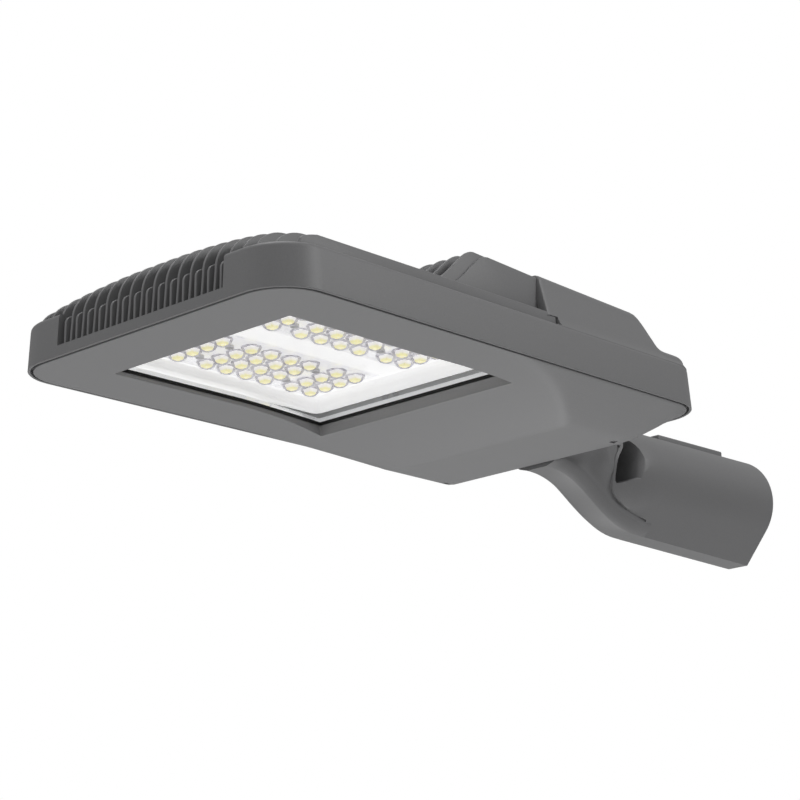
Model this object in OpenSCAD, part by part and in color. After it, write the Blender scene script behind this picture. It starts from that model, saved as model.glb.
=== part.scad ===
/* [Body] */
// Length of the housing rim, front to back
body_l = 408; // [398:1:420]
// Width of the housing rim
body_w = 250; // [244:1:262]
// Plan radius of the four corners
corner_r = 33; // [28:1:38]
// Height of the solid outer wall above the rim
wall_h = 28.5; // [26:0.5:31]
// Draft of the outer wall, measured at its top
wall_draft = 1.8; // [1:0.1:2.5]
// Thickness of the housing walls
wall_t = 3.2; // [2.8:0.1:3.8]
// Height of the driver hood above the rim
hood_h = 64.5; // [60:0.5:70]
// Front edge of the driver hood, from the front of the rim
hood_x = 156; // [152:1:160]
// Front edge of the smooth rear cover, from the front of the rim
cover_x = 242; // [240:1:248]
// Drop of the driver bulge below the rim
bulge_h = 21.25; // [18:0.25:24]

/* [Cooling fins] */
// Distance between two tall fins
fin_pitch = 10.86; // [10.2:0.02:11]
// Thickness of a fin
fin_t = 2; // [1.6:0.1:2.4]
// Height of the middle fin above the rim
fin_h = 48.5; // [44:0.5:52]
// How much lower the outermost fins are than the middle one
fin_crown = 12; // [8:0.5:14]
// Half width of the slotted part of the front wall
slot_half_w = 75; // [70:0.5:76]
// Height of the solid band below the front slots
slot_z = 7; // [6:0.5:9]
// Height of the cooling deck above the rim
deck_z = 26; // [25.5:0.1:27]
// Thickness of the cooling deck
deck_t = 3.5; // [3:0.1:4]
// Height of the short fins at the front wall
short_fin_h = 21.5; // [18:0.5:24]

/* [Lower frame] */
// Width of the groove between housing lip and frame
groove_w = 1.6; // [1.2:0.1:2]
// Width of the thin lip of the housing
lip_t = 1.8; // [1.5:0.1:2.2]
// Thickness of the frame casting
frame_t = 3; // [2.6:0.1:3.4]
// Front edge of the window, from the front of the rim
win_x = 42.7; // [41:0.1:46]
// Length of the window
win_l = 200; // [196:1:204]
// Width of the window
win_w = 172; // [168:1:176]
// Run of the bevel round the window, at its rear
win_bevel = 5; // [4:0.5:6]
// Depth of the window face below the rim
face_z = 1.7; // [1.2:0.1:2.2]
// Height above the rim at which the glass gasket lies
glass_z = 4; // [3.6:0.1:4.6]
// Distance from the flat under the driver to the rear of the rim
flat_back = 42; // [38:1:46]
// Length of the flat under the driver
flat_l = 61; // [56:1:64]
// Half width of the flat under the driver
flat_half_w = 78; // [72:1:84]

/* [Glass and optics] */
// Thickness of the window glass
glass_t = 4; // [3:0.5:4]
// Thickness of the gasket under the glass
glass_gasket_t = 1; // [0.8:0.1:1.4]
// How far the gasket shows inside the window
gasket_lip = 7.5; // [5:0.5:9]
// How far the glass overlaps the window edge
glass_lap = 6; // [5:0.5:7]
// Distance between two lenses along the head
lens_pitch_x = 17.5; // [17:0.1:17.8]
// Distance between two lenses across the head
lens_pitch_y = 14.1; // [13.6:0.1:14.4]
// Distance between two groups of lenses
lens_gap_x = 25; // [24:0.5:26]
// Half the distance between the middles of the two lens plates
lens_off_y = 43.7; // [43:0.1:45]
// Middle of the lens plates, from the front of the rim
lens_x = 142; // [140:0.5:144]
// Radius of one lens dome
lens_r = 6.6; // [6:0.1:6.7]
// Thickness of a circuit board
board_t = 1.6; // [1.2:0.1:2]

/* [Spigot arm] */
// Distance from the rear of the rim to the mouth of the socket
arm_reach = 203; // [198:1:215]
// Bore of the pole socket, for a pole of 60 mm
socket_d = 60.8; // [60.4:0.1:61]
// Depth of the pole socket
socket_l = 118; // [100:1:122]
// Outer diameter of the socket at its mouth
socket_od = 73; // [71:0.5:76]
// Height of the rim above the socket axis
rim_z = 13.5; // [12:0.5:15]
// Depth of the keel below the socket axis, at the mouth
keel_z = 47; // [44:0.5:49]
// Width of the keel strip
keel_w = 17.3; // [15:0.1:20]
// Diameter of the hole for the supply cable in the stop ring
cable_d = 36; // [30:1:42]
// Thread diameter of the set screws
set_screw_d = 8; // [6:1:8]
// Distance of the rear set screw from the mouth
set_screw_x = 52; // [48:1:56]
// Distance between the two set screws
set_screw_gap = 42; // [38:1:46]

/* [Hidden] */
$fn = 48;

// Small clearance between pieces that sit loosely in each other
fit = 0.3;
front_x = -(body_l + arm_reach);
draft_w = body_w / 2 - wall_draft;

// Housing values, measured from the front of the rim
ramp_l = 38;
ledge_w = 4.5;
rail_t = 2.5;
rail_y = body_w / 2 - wall_draft - ledge_w;
fin_bend_x = 30;
fin_bend_z = 21.6;
hood_run = 39;
hood_floor = hood_h - 8.5;
hood_y = rail_y - 7.5;
hood_fall = 3.5;
fin_lead = 12;
cover_end = body_l - 65;
cover_foot = body_l - 44;
rear_z = wall_h + 6.8;
rear_edge = rail_y - body_w / 2 + corner_r + 0.6;
flange_z = 4;
flange_h = 4;
flange_w = 9;
chamber_in = wall_t + wall_draft;
divider_x = win_x + win_l + 11;
divider_t = 3.5;
tall_fins = floor((rail_y - rail_t) / fin_pitch);
side_fins = floor((slot_half_w - fin_t) / fin_pitch);

// Lower frame values
frame_in = lip_t + groove_w;
frame_top = flange_z - 1;
frame_half = body_w / 2 - frame_in;
swell_x = 150;
flat_end = body_l - flat_back;
flat_x = flat_end - flat_l;
win_end = win_x + win_l;
seat_x0 = win_x + 1;
seat_x1 = win_end - win_bevel;
seat_half = win_w / 2 - 1;
rail_out = 10;
curb_t = 2;
glass_top = glass_z + glass_gasket_t + glass_t;

// Optics values
ceiling_z = deck_z - deck_t;
pad_t = 0.5;
board_z = ceiling_z - pad_t - board_t;
chip_t = 0.8;
chip_w = 4;
lens_plate_t = 2;
lens_plate_z = board_z - lens_plate_t;
lens_dome_h = 5.4;
lens_margin = 12;
lens_xs = [for (g = [-1, 0, 1], i = [-1.5, -0.5, 0.5, 1.5]) if (g == 0 || abs(i) < 1)
    lens_x + i * lens_pitch_x + g * (2 * lens_pitch_x + lens_gap_x)];
lens_ys = [for (i = [-1.5, -0.5, 0.5, 1.5]) i * lens_pitch_y];
plate_l = lens_xs[len(lens_xs) - 1] - lens_xs[0] + 2 * lens_margin;
plate_w = lens_ys[3] - lens_ys[0] + 2 * lens_margin;
plate_x = lens_xs[0] - lens_margin;
tray_lift = 0.8;
optic_screw_xs = [for (s = [-1, 1]) lens_x + s * (1.5 * lens_pitch_x + lens_gap_x / 2)];
optic_screw_r = 1.5;

// Driver compartment values
tray_z = 20;
tray_t = 2;
tray_x0 = max(divider_x + divider_t, cover_x + wall_t) + 4;
tray_l = 96;
tray_w = 190;
post_r = 4.5;
post_xs = [tray_x0 + 8, tray_x0 + tray_l - 8];
post_y = tray_w / 2 - 8;
tray_screw_r = 2;
driver_gap = 39;
driver_x = cover_end - cover_x - driver_gap;
driver_y = 160;
driver_z = 32;
surge_l = 50;
surge_w = 28;
surge_h = 22;
wire_hole_y = 30;
wire_hole_z = 14;
clip_w = 14;
clip_in = 40;
tray_head_r = 3.8;
tray_head_h = 2.4;
tray_post_hole = 14;

// Arm values, measured from the socket mouth
socket_r = socket_d / 2;
tube_r = socket_od / 2;
tube_front_r = tube_r - 1.5;
stop_t = 6;
tube_x0 = front_x + body_l + 2;
cable_room_l = 38;
front_room_r = 16;
front_room_z = 4;
keel_rise = 3.4;
neck_x0 = front_x + flat_end + 4;
neck_x1 = front_x + body_l + 62;
neck_x2 = front_x + body_l - 3;
neck_half = tube_r - 0.5;
web_half = 19;
lug_half = tube_r + 1;
lug_x = flat_end + 6;
lug_top = 12;
arm_bolt_r = 4;
arm_bolt_x = body_l - 20;
arm_bolt_y = 14;
duct_r = 6.5;
duct_x = body_l - 16;
arm_bolt_d = 13;
mouth_w = 22;
mouth_top = 16.5;
mouth_low = -15.5;
mouth_x0 = tube_x0 + 20;
pad_half = 13;
pad_h = 1.4;
pad_x0 = -112;
pad_x1 = -31;

// Plan outline of the head, moved inwards by d
module outline(d = 0) {
  r = corner_r - d;
  translate([corner_r, -body_w / 2 + d]) square([body_l - 2 * corner_r, body_w - 2 * d]);
  translate([d, -body_w / 2 + corner_r]) square([body_l - 2 * d, body_w - 2 * corner_r]);
  for (x = [corner_r, body_l - corner_r], s = [-1, 1])
    translate([x, s * (body_w / 2 - corner_r)]) circle(r);
}

// Rounded rectangle on the centre line, from x0 to x1
module window_plate(x0, x1, half, r) {
  translate([x0 + r, -half]) square([x1 - x0 - 2 * r, 2 * half]);
  translate([x0, -half + r]) square([x1 - x0, 2 * (half - r)]);
  for (x = [x0 + r, x1 - r], s = [-1, 1]) translate([x, s * (half - r)]) circle(r);
}

// Places body measures, taken from the front of the rim, in the frame of the part
module in_body() translate([front_x, 0, rim_z]) children();

// Extrudes a side profile of x and z across the head
module across(w) rotate([90, 0, 0]) translate([0, 0, -w / 2]) linear_extrude(w) children();

// Extrudes a cross profile of y and z along the head
module along(x0, x1) translate([x0, 0, 0]) rotate([90, 0, 90]) linear_extrude(x1 - x0) children();

// Height of a fin at a given distance from the middle
function crown(y) = fin_h - fin_crown * pow(abs(y) / rail_y, 2.5);

// Smooth step from 0 to 1
function ease(t) = t * t * (3 - 2 * t);

// S curve that lifts a line from height z0 to z1 at the front of the hood, moved forward by lead
function hood_curve(z0, z1, lead = 0) =
  [for (t = [0:0.1:1]) [hood_x - lead + hood_run * t, z0 + (z1 - z0) * ease(t)]];

// Front edge of a tall fin, a bend from the front wall to its top
function fin_bend(h) = [for (a = [0:9:90])
    [fin_bend_x - (fin_bend_x - 4) * cos(a), fin_bend_z + (h - fin_bend_z) * sin(a)]];

// Outer wall with draft on all sides and conical corners
module wall_band() {
  along(corner_r, body_l - corner_r)
    polygon([[-body_w / 2, 0], [body_w / 2, 0], [draft_w, wall_h], [-draft_w, wall_h]]);
  across(body_w - 2 * corner_r)
    polygon([[0, 0], [body_l, 0], [body_l - wall_draft, wall_h], [wall_draft, wall_h]]);
  for (x = [corner_r, body_l - corner_r], s = [-1, 1])
    translate([x, s * (body_w / 2 - corner_r), 0])
      cylinder(h = wall_h, r1 = corner_r, r2 = corner_r - wall_draft);
}

// One tall fin, from the front wall to the rear of the hood
module tall_fin(y) {
  translate([0, y, 0]) across(fin_t)
    polygon(concat([[2.4, slot_z - 1]], fin_bend(crown(y)), hood_curve(crown(y), hood_h, fin_lead),
      [[cover_x + 2, hood_h - hood_fall], [cover_x + 2, deck_z - 1], [ramp_l, deck_z - 1]]));
}

// One short fin between two tall ones, at the front wall only
module short_fin(y) {
  translate([0, y, 0]) across(fin_t)
    polygon([[2.4, slot_z - 1], [3, short_fin_h], [4, short_fin_h + 2.6], [6.6, short_fin_h + 4.8],
      [16, short_fin_h + 9], [52, short_fin_h + 9], [62, deck_z - 1], [ramp_l, deck_z - 1]]);
}

// Side wall of the fin field and of the hood
module side_rail(s) {
  translate([0, s * (rail_y - rail_t / 2), 0]) across(rail_t)
    polygon(concat([[corner_r - 14, deck_z - 1]], [[corner_r - 12, crown(rail_y) - 4]],
      [[corner_r, crown(rail_y)], [cover_x + 10, crown(rail_y)], [cover_x + 10, deck_z - 1]]));
  translate([0, s * (hood_y - rail_t / 2), 0]) across(rail_t)
    polygon(concat([[hood_x - 4, deck_z - 1]], hood_curve(crown(hood_y), hood_h - 1),
      [[cover_x + 2, hood_h - hood_fall], [cover_x + 2, deck_z - 1]]));
}

// Solid of the hood below its fins
module hood_block() {
  across(2 * hood_y)
    polygon(concat([[hood_x - 6, deck_z - 1], [hood_x, deck_z]], hood_curve(deck_z, hood_floor),
      [[cover_x + 2, hood_floor], [cover_x + 2, deck_z - 1]]));
}

// Side profile of the rear cover, moved inwards by d: falling top, steep slope and a low ledge
module cover_side(d = 0) {
  polygon([[cover_x + d, wall_h - 8 - d], [cover_x + d, hood_h - 0.9 - d], [cover_end - d * 0.6, hood_h - 5 - d],
    [cover_end + 5 - d, hood_h - 10.5 - d], [cover_end + 16 - d, hood_h - 26 - d], [cover_foot - d, rear_z + 0.6 - d],
    [body_l - 8.5 - d, rear_z - d], [body_l - 4.5 - d, rear_z - 2.2 - d],
    [body_l - wall_draft - 0.2 - d, wall_h - d / 2], [body_l - wall_draft - 0.2 - d, wall_h - 8 - d]]);
}

// Plan limit of the rear cover: its two rear corners are round and lean inwards
module cover_plan(d = 0) {
  translate([0, -body_w / 2, wall_h - 12]) cube([body_l - corner_r, body_w, hood_h]);
  translate([0, corner_r - body_w / 2, wall_h - 12]) cube([body_l, body_w - 2 * corner_r, hood_h]);
  for (s = [-1, 1]) translate([body_l - corner_r, s * (body_w / 2 - corner_r), wall_h - 12]) {
    cylinder(h = 12, r = corner_r - wall_draft - 0.05 - d);
    translate([0, 0, 12]) cylinder(h = 6.8, r1 = corner_r - wall_draft - 0.05 - d, r2 = rear_edge - d);
    translate([0, 0, 18.8]) cylinder(h = hood_h, r = rear_edge - d);
  }
}

// Cross profile of the rear cover, flared down to the outer wall
module cover_section(d = 0) {
  half_top = hood_y + 0.5 - d;
  half_mid = rail_y + 0.5 - d;
  half_low = draft_w - 0.2 - d;
  polygon([[-half_low, wall_h - 10], [half_low, wall_h - 10], [half_low, wall_h - 0.5],
    [half_mid, wall_h + 7.5], [half_top, hood_h - d], [-half_top, hood_h - d],
    [-half_mid, wall_h + 7.5], [-half_low, wall_h - 0.5]]);
}

module cover_block(d = 0) {
  intersection() {
    across(body_w) cover_side(d);
    along(cover_x, body_l) cover_section(d);
    cover_plan(d);
  }
}

// Room over the window, under the cooling deck
module led_chamber() {
  intersection() {
    across(body_w)
      polygon([[wall_t, -1], [wall_t, slot_z - wall_t], [ramp_l + 3, ceiling_z],
        [divider_x, ceiling_z], [divider_x, -1]]);
    union() {
      translate([0, 0, -2]) linear_extrude(flange_z + flange_h + 2) outline(flange_w);
      translate([0, 0, flange_z + flange_h]) linear_extrude(hood_h) outline(chamber_in);
    }
  }
}

// Room for the driver, under the hood and the rear cover
module driver_chamber() {
  x0 = divider_x + divider_t;
  intersection() {
    union() {
      translate([x0, -body_w / 2, -1]) cube([body_l, body_w, wall_h - 7]);
      intersection() {
        cover_block(wall_t);
        translate([x0, -body_w / 2, 0]) cube([body_l, body_w, hood_h]);
      }
      translate([hood_x + hood_run + 5, -hood_y + rail_t + 1, deck_z + deck_t])
        cube([x0 + 1 - hood_x - hood_run - 5, 2 * (hood_y - rail_t - 1),
          hood_floor - wall_t - deck_z - deck_t]);
    }
    union() {
      translate([0, 0, -2]) linear_extrude(flange_z + flange_h + 2) outline(flange_w);
      translate([0, 0, flange_z + flange_h]) linear_extrude(hood_h) outline(chamber_in);
    }
  }
}

// Side profile of the lower frame, raised by d for its inside
module frame_side(d = 0) {
  e = frame_in;
  polygon(concat(
    [[e, frame_top + 1], [e, -0.3 + d], [e + 2, -face_z + d]],
    [for (t = [0:0.1:1]) [swell_x + (flat_x - swell_x) * t + d * t,
        -face_z - (bulge_h - face_z) * pow(t, 3) + d]],
    [[flat_end - d * 0.6, -bulge_h + d], [flat_end + 9 - d, -0.8 * bulge_h + d],
      [flat_end + 20 - d, -0.33 * bulge_h + d], [body_l - 11 - d, -0.07 * bulge_h + d],
      [body_l - e - d, 0], [body_l - e - d, frame_top + 1]]));
}

// Cross profile of the lower frame
module frame_section(d = 0) {
  hw = frame_half - d;
  fw = flat_half_w - d * 0.6;
  polygon([[-hw, frame_top + 1], [-hw, -0.3 + d], [-fw, -bulge_h + d], [fw, -bulge_h + d],
    [hw, -0.3 + d], [hw, frame_top + 1]]);
}

// Outer form of the lower frame: long front slope, steep flanks and a flat
module frame_form(d = 0) {
  intersection() {
    across(body_w) frame_side(d);
    along(0, body_l) frame_section(d);
    translate([0, 0, -bulge_h - 1]) linear_extrude(bulge_h + 1 + frame_top) outline(frame_in + d);
  }
}

// Ring between two window plates
module window_ring(x0, x1, half, r, grow, z0, z1) {
  translate([0, 0, z0]) linear_extrude(z1 - z0) difference() {
    window_plate(x0 - grow, x1 + grow, half + grow, r + grow);
    window_plate(x0, x1, half, r);
  }
}

module housing() color([0.36, 0.37, 0.38]) in_body() {
  difference() {
    union() {
      difference() {
        wall_band();
        // Open top inside the rim, down to the cooling deck
        translate([0, 0, deck_z]) linear_extrude(wall_h) intersection() {
          outline(wall_draft + ledge_w);
          translate([0, -body_w / 2]) square([cover_x, body_w]);
        }
        // Slots of the front wall
        across(2 * slot_half_w)
          polygon([[-1, slot_z], [0, slot_z], [ramp_l, deck_z], [ramp_l, wall_h + 1], [-1, wall_h + 1]]);
      }
      intersection() {
        union() {
          for (k = [-tall_fins:tall_fins]) tall_fin(k * fin_pitch);
          for (k = [-side_fins:side_fins - 1]) short_fin((k + 0.5) * fin_pitch);
        }
        linear_extrude(hood_h + 1) outline(0.8);
      }
      intersection() {
        for (s = [-1, 1]) side_rail(s);
        linear_extrude(hood_h + 1) outline(wall_draft + 1);
      }
      hood_block();
      cover_block();
    }
    led_chamber();
    driver_chamber();
    // Recess for the lower frame, which leaves the thin lip
    translate([0, 0, -1]) linear_extrude(flange_z + 1) outline(lip_t);
    // Cable hole from the driver room to the light sources
    translate([divider_x - 1, wire_hole_y, wire_hole_z]) rotate([0, 90, 0])
      cylinder(h = divider_t + 2, r = 5);
    // Breather hole in the rear wall
    translate([body_l - 12, -60, 14]) rotate([0, 90, 0]) cylinder(h = 20, r = 4);
    frame_screw_places() translate([0, 0, -1]) cylinder(h = deck_z + 2, r = 2.2);
  }
  // Posts for the gear tray
  difference() {
    intersection() {
      for (x = post_xs, s = [-1, 1])
        translate([x, s * post_y, tray_z + tray_t]) cylinder(h = hood_h, r = post_r);
      across(body_w) cover_side(wall_t / 2);
    }
    for (x = post_xs, s = [-1, 1])
      translate([x, s * post_y, tray_z + tray_t - 1]) cylinder(h = tray_post_hole, r = tray_screw_r);
  }
  rear_lug();
}

// Solid lug that carries the arm and fills the notch of the lower frame
module rear_lug() {
  difference() {
    intersection() {
      union() {
        across(body_w) frame_side();
        translate([0, -body_w / 2, 0]) cube([body_l, body_w, lug_top]);
      }
      translate([lug_x + fit, -lug_half + fit, -bulge_h])
        cube([body_l - lug_x - 4, 2 * (lug_half - fit), bulge_h + lug_top]);
    }
    for (s = [-1, 1]) translate([arm_bolt_x, s * arm_bolt_y, -bulge_h]) cylinder(h = 60, r = arm_bolt_r);
    translate([duct_x, 0, -bulge_h]) cylinder(h = 60, r = duct_r);
  }
}

// Screws that come down through the cooling deck into the lower frame
module frame_screw_places() {
  for (x = [corner_r - 4, hood_x - 10], s = [-1, 1])
    translate([x, s * (tall_fins - 0.5) * fin_pitch, 0]) children();
}

module lower_frame() color([0.53, 0.53, 0.54]) in_body() {
  difference() {
    union() {
      frame_form();
      window_ring(seat_x0, seat_x1, seat_half, 5, rail_out, 0, glass_z);
      window_ring(seat_x0 - glass_lap - fit, seat_x1 + glass_lap + fit, seat_half + glass_lap + fit,
        8, curb_t, 0, glass_top);
      frame_screw_places() cylinder(h = ceiling_z - fit, r = 4.5);
    }
    // Inside of the driver bulge
    intersection() {
      frame_form(frame_t);
      translate([win_end + rail_out + 3, -body_w, -bulge_h]) cube([body_l, 2 * body_w, 60]);
    }
    translate([0, 0, 0]) linear_extrude(60) intersection() {
      outline(frame_in + 8);
      translate([win_end + rail_out + 3, -body_w / 2]) square([body_l, body_w]);
    }
    window_opening();
    frame_screw_places() translate([0, 0, 4]) cylinder(h = 60, r = 1.7);
    // Notch for the rear lug
    translate([lug_x, -lug_half, -bulge_h - 1]) cube([body_l, 2 * lug_half, bulge_h + 20]);
  }
}

// Window opening, with its bevel widest at the rear
module window_opening() {
  translate([0, 0, -bulge_h]) linear_extrude(60) window_plate(seat_x0, seat_x1, seat_half, 5);
  intersection() {
    across(win_w)
      polygon([[win_x, -bulge_h], [win_x, -face_z], [seat_x0, glass_z - 1], [seat_x1, glass_z - 1],
        [win_end, -face_z - 3], [win_end, -bulge_h]]);
    along(0, body_l)
      polygon([[-win_w / 2, -bulge_h], [-win_w / 2, -face_z], [-seat_half, glass_z - 1],
        [seat_half, glass_z - 1], [win_w / 2, -face_z], [win_w / 2, -bulge_h]]);
  }
}

module rim_gasket() color([0.06, 0.06, 0.06]) in_body() {
  translate([0, 0, frame_top]) linear_extrude(flange_z - frame_top) difference() {
    outline(frame_in + 0.6);
    outline(flange_w - 0.6);
    translate([lug_x - 1, -lug_half - 1]) square([body_l, 2 * lug_half + 2]);
  }
}

module glass_gasket() color([0.05, 0.05, 0.05]) in_body()
  translate([0, 0, glass_z]) linear_extrude(glass_gasket_t) difference() {
    window_plate(seat_x0 - glass_lap, seat_x1 + glass_lap, seat_half + glass_lap, 8);
    window_plate(seat_x0 + gasket_lip, seat_x1 - gasket_lip, seat_half - gasket_lip, 4);
  }

module window_glass() color([0.8, 0.9, 0.92, 0.35]) in_body()
  translate([0, 0, glass_z + glass_gasket_t]) linear_extrude(glass_t)
    window_plate(seat_x0 - glass_lap, seat_x1 + glass_lap, seat_half + glass_lap, 8);

// Spring clips that hold the glass down on its curb
module glass_clips() color([0.7, 0.7, 0.72]) in_body()
  for (x = [seat_x0 + clip_in, seat_x1 - clip_in], s = [-1, 1]) translate([x, 0, 0]) {
    y = seat_half + glass_lap + fit + curb_t;
    translate([0, s * (y - 3), glass_top]) translate([-clip_w / 2, -5.5, 0]) cube([clip_w, 11, 1]);
    translate([-clip_w / 2, s * (y + 1.2) - 0.8, glass_z]) cube([clip_w, 1.6, glass_top - glass_z + 1]);
  }

// White tray round the lens plates, with sloping sides
module reflector() color([0.92, 0.92, 0.93]) in_body() difference() {
  x0 = seat_x0 + 3;
  x1 = seat_x1 - 1.5;
  h = seat_half - 0.5;
  z0 = glass_top + 0.6;
  z1 = lens_plate_z;
  t = 1;
  hull() {
    translate([0, 0, z0]) linear_extrude(0.1) window_plate(x0, x1, h, 6);
    translate([0, 0, z1 + t - 0.1]) linear_extrude(0.1) window_plate(x0 + 9, x1 - 9, h - 7, 4);
  }
  hull() {
    translate([0, 0, z0 - 0.1]) linear_extrude(0.1) window_plate(x0 + t, x1 - t, h - t, 5);
    translate([0, 0, z1 - 0.1]) linear_extrude(0.1) window_plate(x0 + 9 + t, x1 - 9 - t, h - 7 - t, 3);
  }
  for (s = [-1, 1]) translate([plate_x - fit, s * lens_off_y - plate_w / 2 - fit, z0])
    cube([plate_l + 2 * fit, plate_w + 2 * fit, 30]);
}

module thermal_pad(s) color([0.55, 0.6, 0.65]) in_body()
  translate([plate_x, s * lens_off_y - plate_w / 2, ceiling_z - pad_t]) cube([plate_l, plate_w, pad_t]);

module led_board(s) color([0.9, 0.9, 0.88]) in_body()
  translate([plate_x, s * lens_off_y - plate_w / 2, board_z]) cube([plate_l, plate_w, board_t]);

module led_chips() color([0.93, 0.88, 0.55]) in_body()
  for (s = [-1, 1], x = lens_xs, y = lens_ys)
    translate([x - chip_w / 2, s * lens_off_y + y - chip_w / 2, board_z - chip_t])
      cube([chip_w, chip_w, chip_t]);

// Clear plate with one dome and one pocket for each light source
module lens_plate(s) color([0.9, 0.93, 0.95, 0.6]) in_body() difference() {
  union() {
    translate([plate_x, s * lens_off_y - plate_w / 2, lens_plate_z]) cube([plate_l, plate_w, lens_plate_t]);
    intersection() {
      for (x = lens_xs, y = lens_ys) translate([x, s * lens_off_y + y, lens_plate_z + 1.2])
        sphere(lens_r, $fn = 24);
      translate([plate_x, s * lens_off_y - plate_w / 2, lens_plate_z - lens_dome_h])
        cube([plate_l, plate_w, lens_dome_h + 1]);
    }
  }
  for (x = lens_xs, y = lens_ys)
    translate([x - chip_w / 2 - fit, s * lens_off_y + y - chip_w / 2 - fit, board_z - chip_t - fit])
      cube([chip_w + 2 * fit, chip_w + 2 * fit, 3]);
  for (x = optic_screw_xs, y = [-lens_pitch_y, lens_pitch_y])
    translate([x, s * lens_off_y + y, 0]) cylinder(h = 40, r = optic_screw_r + 0.2);
}

// Pan-head screws that hold lens plate and board against the deck
module optic_screws() color([0.75, 0.75, 0.76]) in_body()
  for (s = [-1, 1], x = optic_screw_xs, y = [-lens_pitch_y, lens_pitch_y])
    translate([x, s * lens_off_y + y, lens_plate_z - 1.8]) {
      cylinder(h = 1.8, r = 2.8);
      translate([0, 0, 1]) cylinder(h = lens_plate_t + 0.8, r = optic_screw_r);
    }

module gear_tray() color([0.75, 0.76, 0.78]) in_body()
  translate([0, 0, tray_z]) linear_extrude(tray_t) difference() {
    translate([tray_x0, -tray_w / 2]) square([tray_l, tray_w]);
    for (x = post_xs, s = [-1, 1]) translate([x, s * post_y]) circle(tray_screw_r + 0.2);
  }

module tray_screws() color([0.75, 0.75, 0.76]) in_body()
  for (x = post_xs, s = [-1, 1]) translate([x, s * post_y, tray_z - tray_head_h]) {
    cylinder(h = tray_head_h, r = tray_head_r);
    translate([0, 0, 1]) cylinder(h = tray_post_hole - 2, r = tray_screw_r - 0.1);
  }

module driver() color([0.2, 0.2, 0.21]) in_body()
  translate([tray_x0 + 2 + 16, -driver_y / 2, tray_z + tray_t]) cube([driver_x, driver_y, driver_z]);

module surge_protector() color([0.75, 0.2, 0.15]) in_body()
  translate([tray_x0 + 10, 18, tray_z - surge_h]) cube([surge_l, surge_w, surge_h]);

module terminal_block() color([0.85, 0.85, 0.82]) in_body()
  translate([tray_x0 + 46, -44, tray_z - 20]) difference() {
    cube([22, 40, 20]);
    for (i = [0:2]) translate([-1, 5 + i * 12, 6]) cube([8, 7, 8]);
  }

// Strap that holds the supply cable on the lug
module cable_clamp() color([0.12, 0.12, 0.13]) in_body()
  translate([lug_x + fit, 0, lug_top]) difference() {
    translate([0, -15, 0]) cube([7, 30, 6]);
    translate([-1, 0, 0]) rotate([0, 90, 0]) cylinder(h = 12, r = 5);
  }

module wire_grommet() color([0.07, 0.07, 0.07]) in_body()
  translate([divider_x - 1.5, wire_hole_y, wire_hole_z]) rotate([0, 90, 0]) difference() {
    union() {
      cylinder(h = 1.5, r = 7);
      cylinder(h = divider_t + 3, r = 5);
      translate([0, 0, divider_t + 1.5]) cylinder(h = 1.5, r = 7);
    }
    translate([0, 0, -1]) cylinder(h = divider_t + 6, r = 3);
  }

module breather_plug() color([0.1, 0.1, 0.1]) in_body()
  translate([body_l - 4, -60, 14]) rotate([0, 90, 0]) {
    translate([0, 0, -4]) cylinder(h = 10, r = 4);
    translate([0, 0, 3.4]) cylinder(h = 3.4, r = 7);
  }

module frame_screws() color([0.75, 0.75, 0.76]) in_body()
  frame_screw_places() {
    translate([0, 0, 8]) cylinder(h = deck_z - 8 + 1, r = 1.7);
    translate([0, 0, deck_z]) difference() {
      cylinder(h = 2.6, r = 3.5);
      translate([0, 0, 1]) cylinder(h = 3, r = 1.5, $fn = 6);
    }
  }

// Cubic curve of the underside of the swan neck, x and z in the frame of the part
function swan(t) = let (a = [neck_x0, rim_z - bulge_h - 1.2],
    b = [neck_x0 + 46, rim_z - bulge_h - 1], c = [neck_x1 - 45, -keel_z + keel_rise + 0.2],
    d = [neck_x1, -keel_z + keel_rise])
  t > 1 ? d * (2 - t) + [0, -keel_z] * (t - 1)
    : a * pow(1 - t, 3) + 3 * b * t * pow(1 - t, 2) + 3 * c * t * t * (1 - t) + d * pow(t, 3);

// Height of the head's rear underside at a given x
function head_under(x) = rim_z + lookup(x - front_x, [[flat_end, -bulge_h], [flat_end + 9, -0.8 * bulge_h],
    [flat_end + 20, -0.33 * bulge_h], [body_l - 11, -0.07 * bulge_h], [body_l - frame_in, 0]]);

// Half width of the neck's top, wide under the head and a narrow web behind it
function neck_width(x) = neck_half - (neck_half - web_half) * ease(max(0, min(1, (x - neck_x2) / 10)));

// Cross section of the neck: keel strip, chamfer and a flank that flares out like a funnel
function neck_ring(t) = let (p = swan(t), top = head_under(p.x), w = neck_width(p.x),
    k = min(1, (top - p.y) / 14), z1 = p.y + 8 * k,
    side = concat([[keel_w / 2, p.y], [13, p.y + 4 * k], [16, z1]],
      [for (s = [0.25:0.25:1]) [16 + (w - 16) * pow(s, 2.2), z1 + (top + 0.6 - z1) * s]],
      [[w, top + 2]]))
  concat([for (q = side) [p.x, q.x, q.y]],
    [for (i = [len(side) - 1:-1:0]) [p.x, -side[i].x, side[i].y]]);

// Solid between mirrored cross sections that all have the same number of points
module loft(rings) {
  n = len(rings[0]);
  m = len(rings);
  e = (m - 1) * n;
  polyhedron(points = [for (r = rings, p = r) p],
    faces = concat([for (i = [0:n / 2 - 2]) [i, i + 1, n - 2 - i, n - 1 - i]],
      [for (i = [0:n / 2 - 2]) [e + n - 1 - i, e + n - 2 - i, e + i + 1, e + i]],
      [for (j = [0:m - 2], i = [0:n - 1]) [j * n + i, (j + 1) * n + i, (j + 1) * n + (i + 1) % n]],
      [for (j = [0:m - 2], i = [0:n - 1]) [j * n + i, (j + 1) * n + (i + 1) % n, j * n + (i + 1) % n]]));
}

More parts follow.
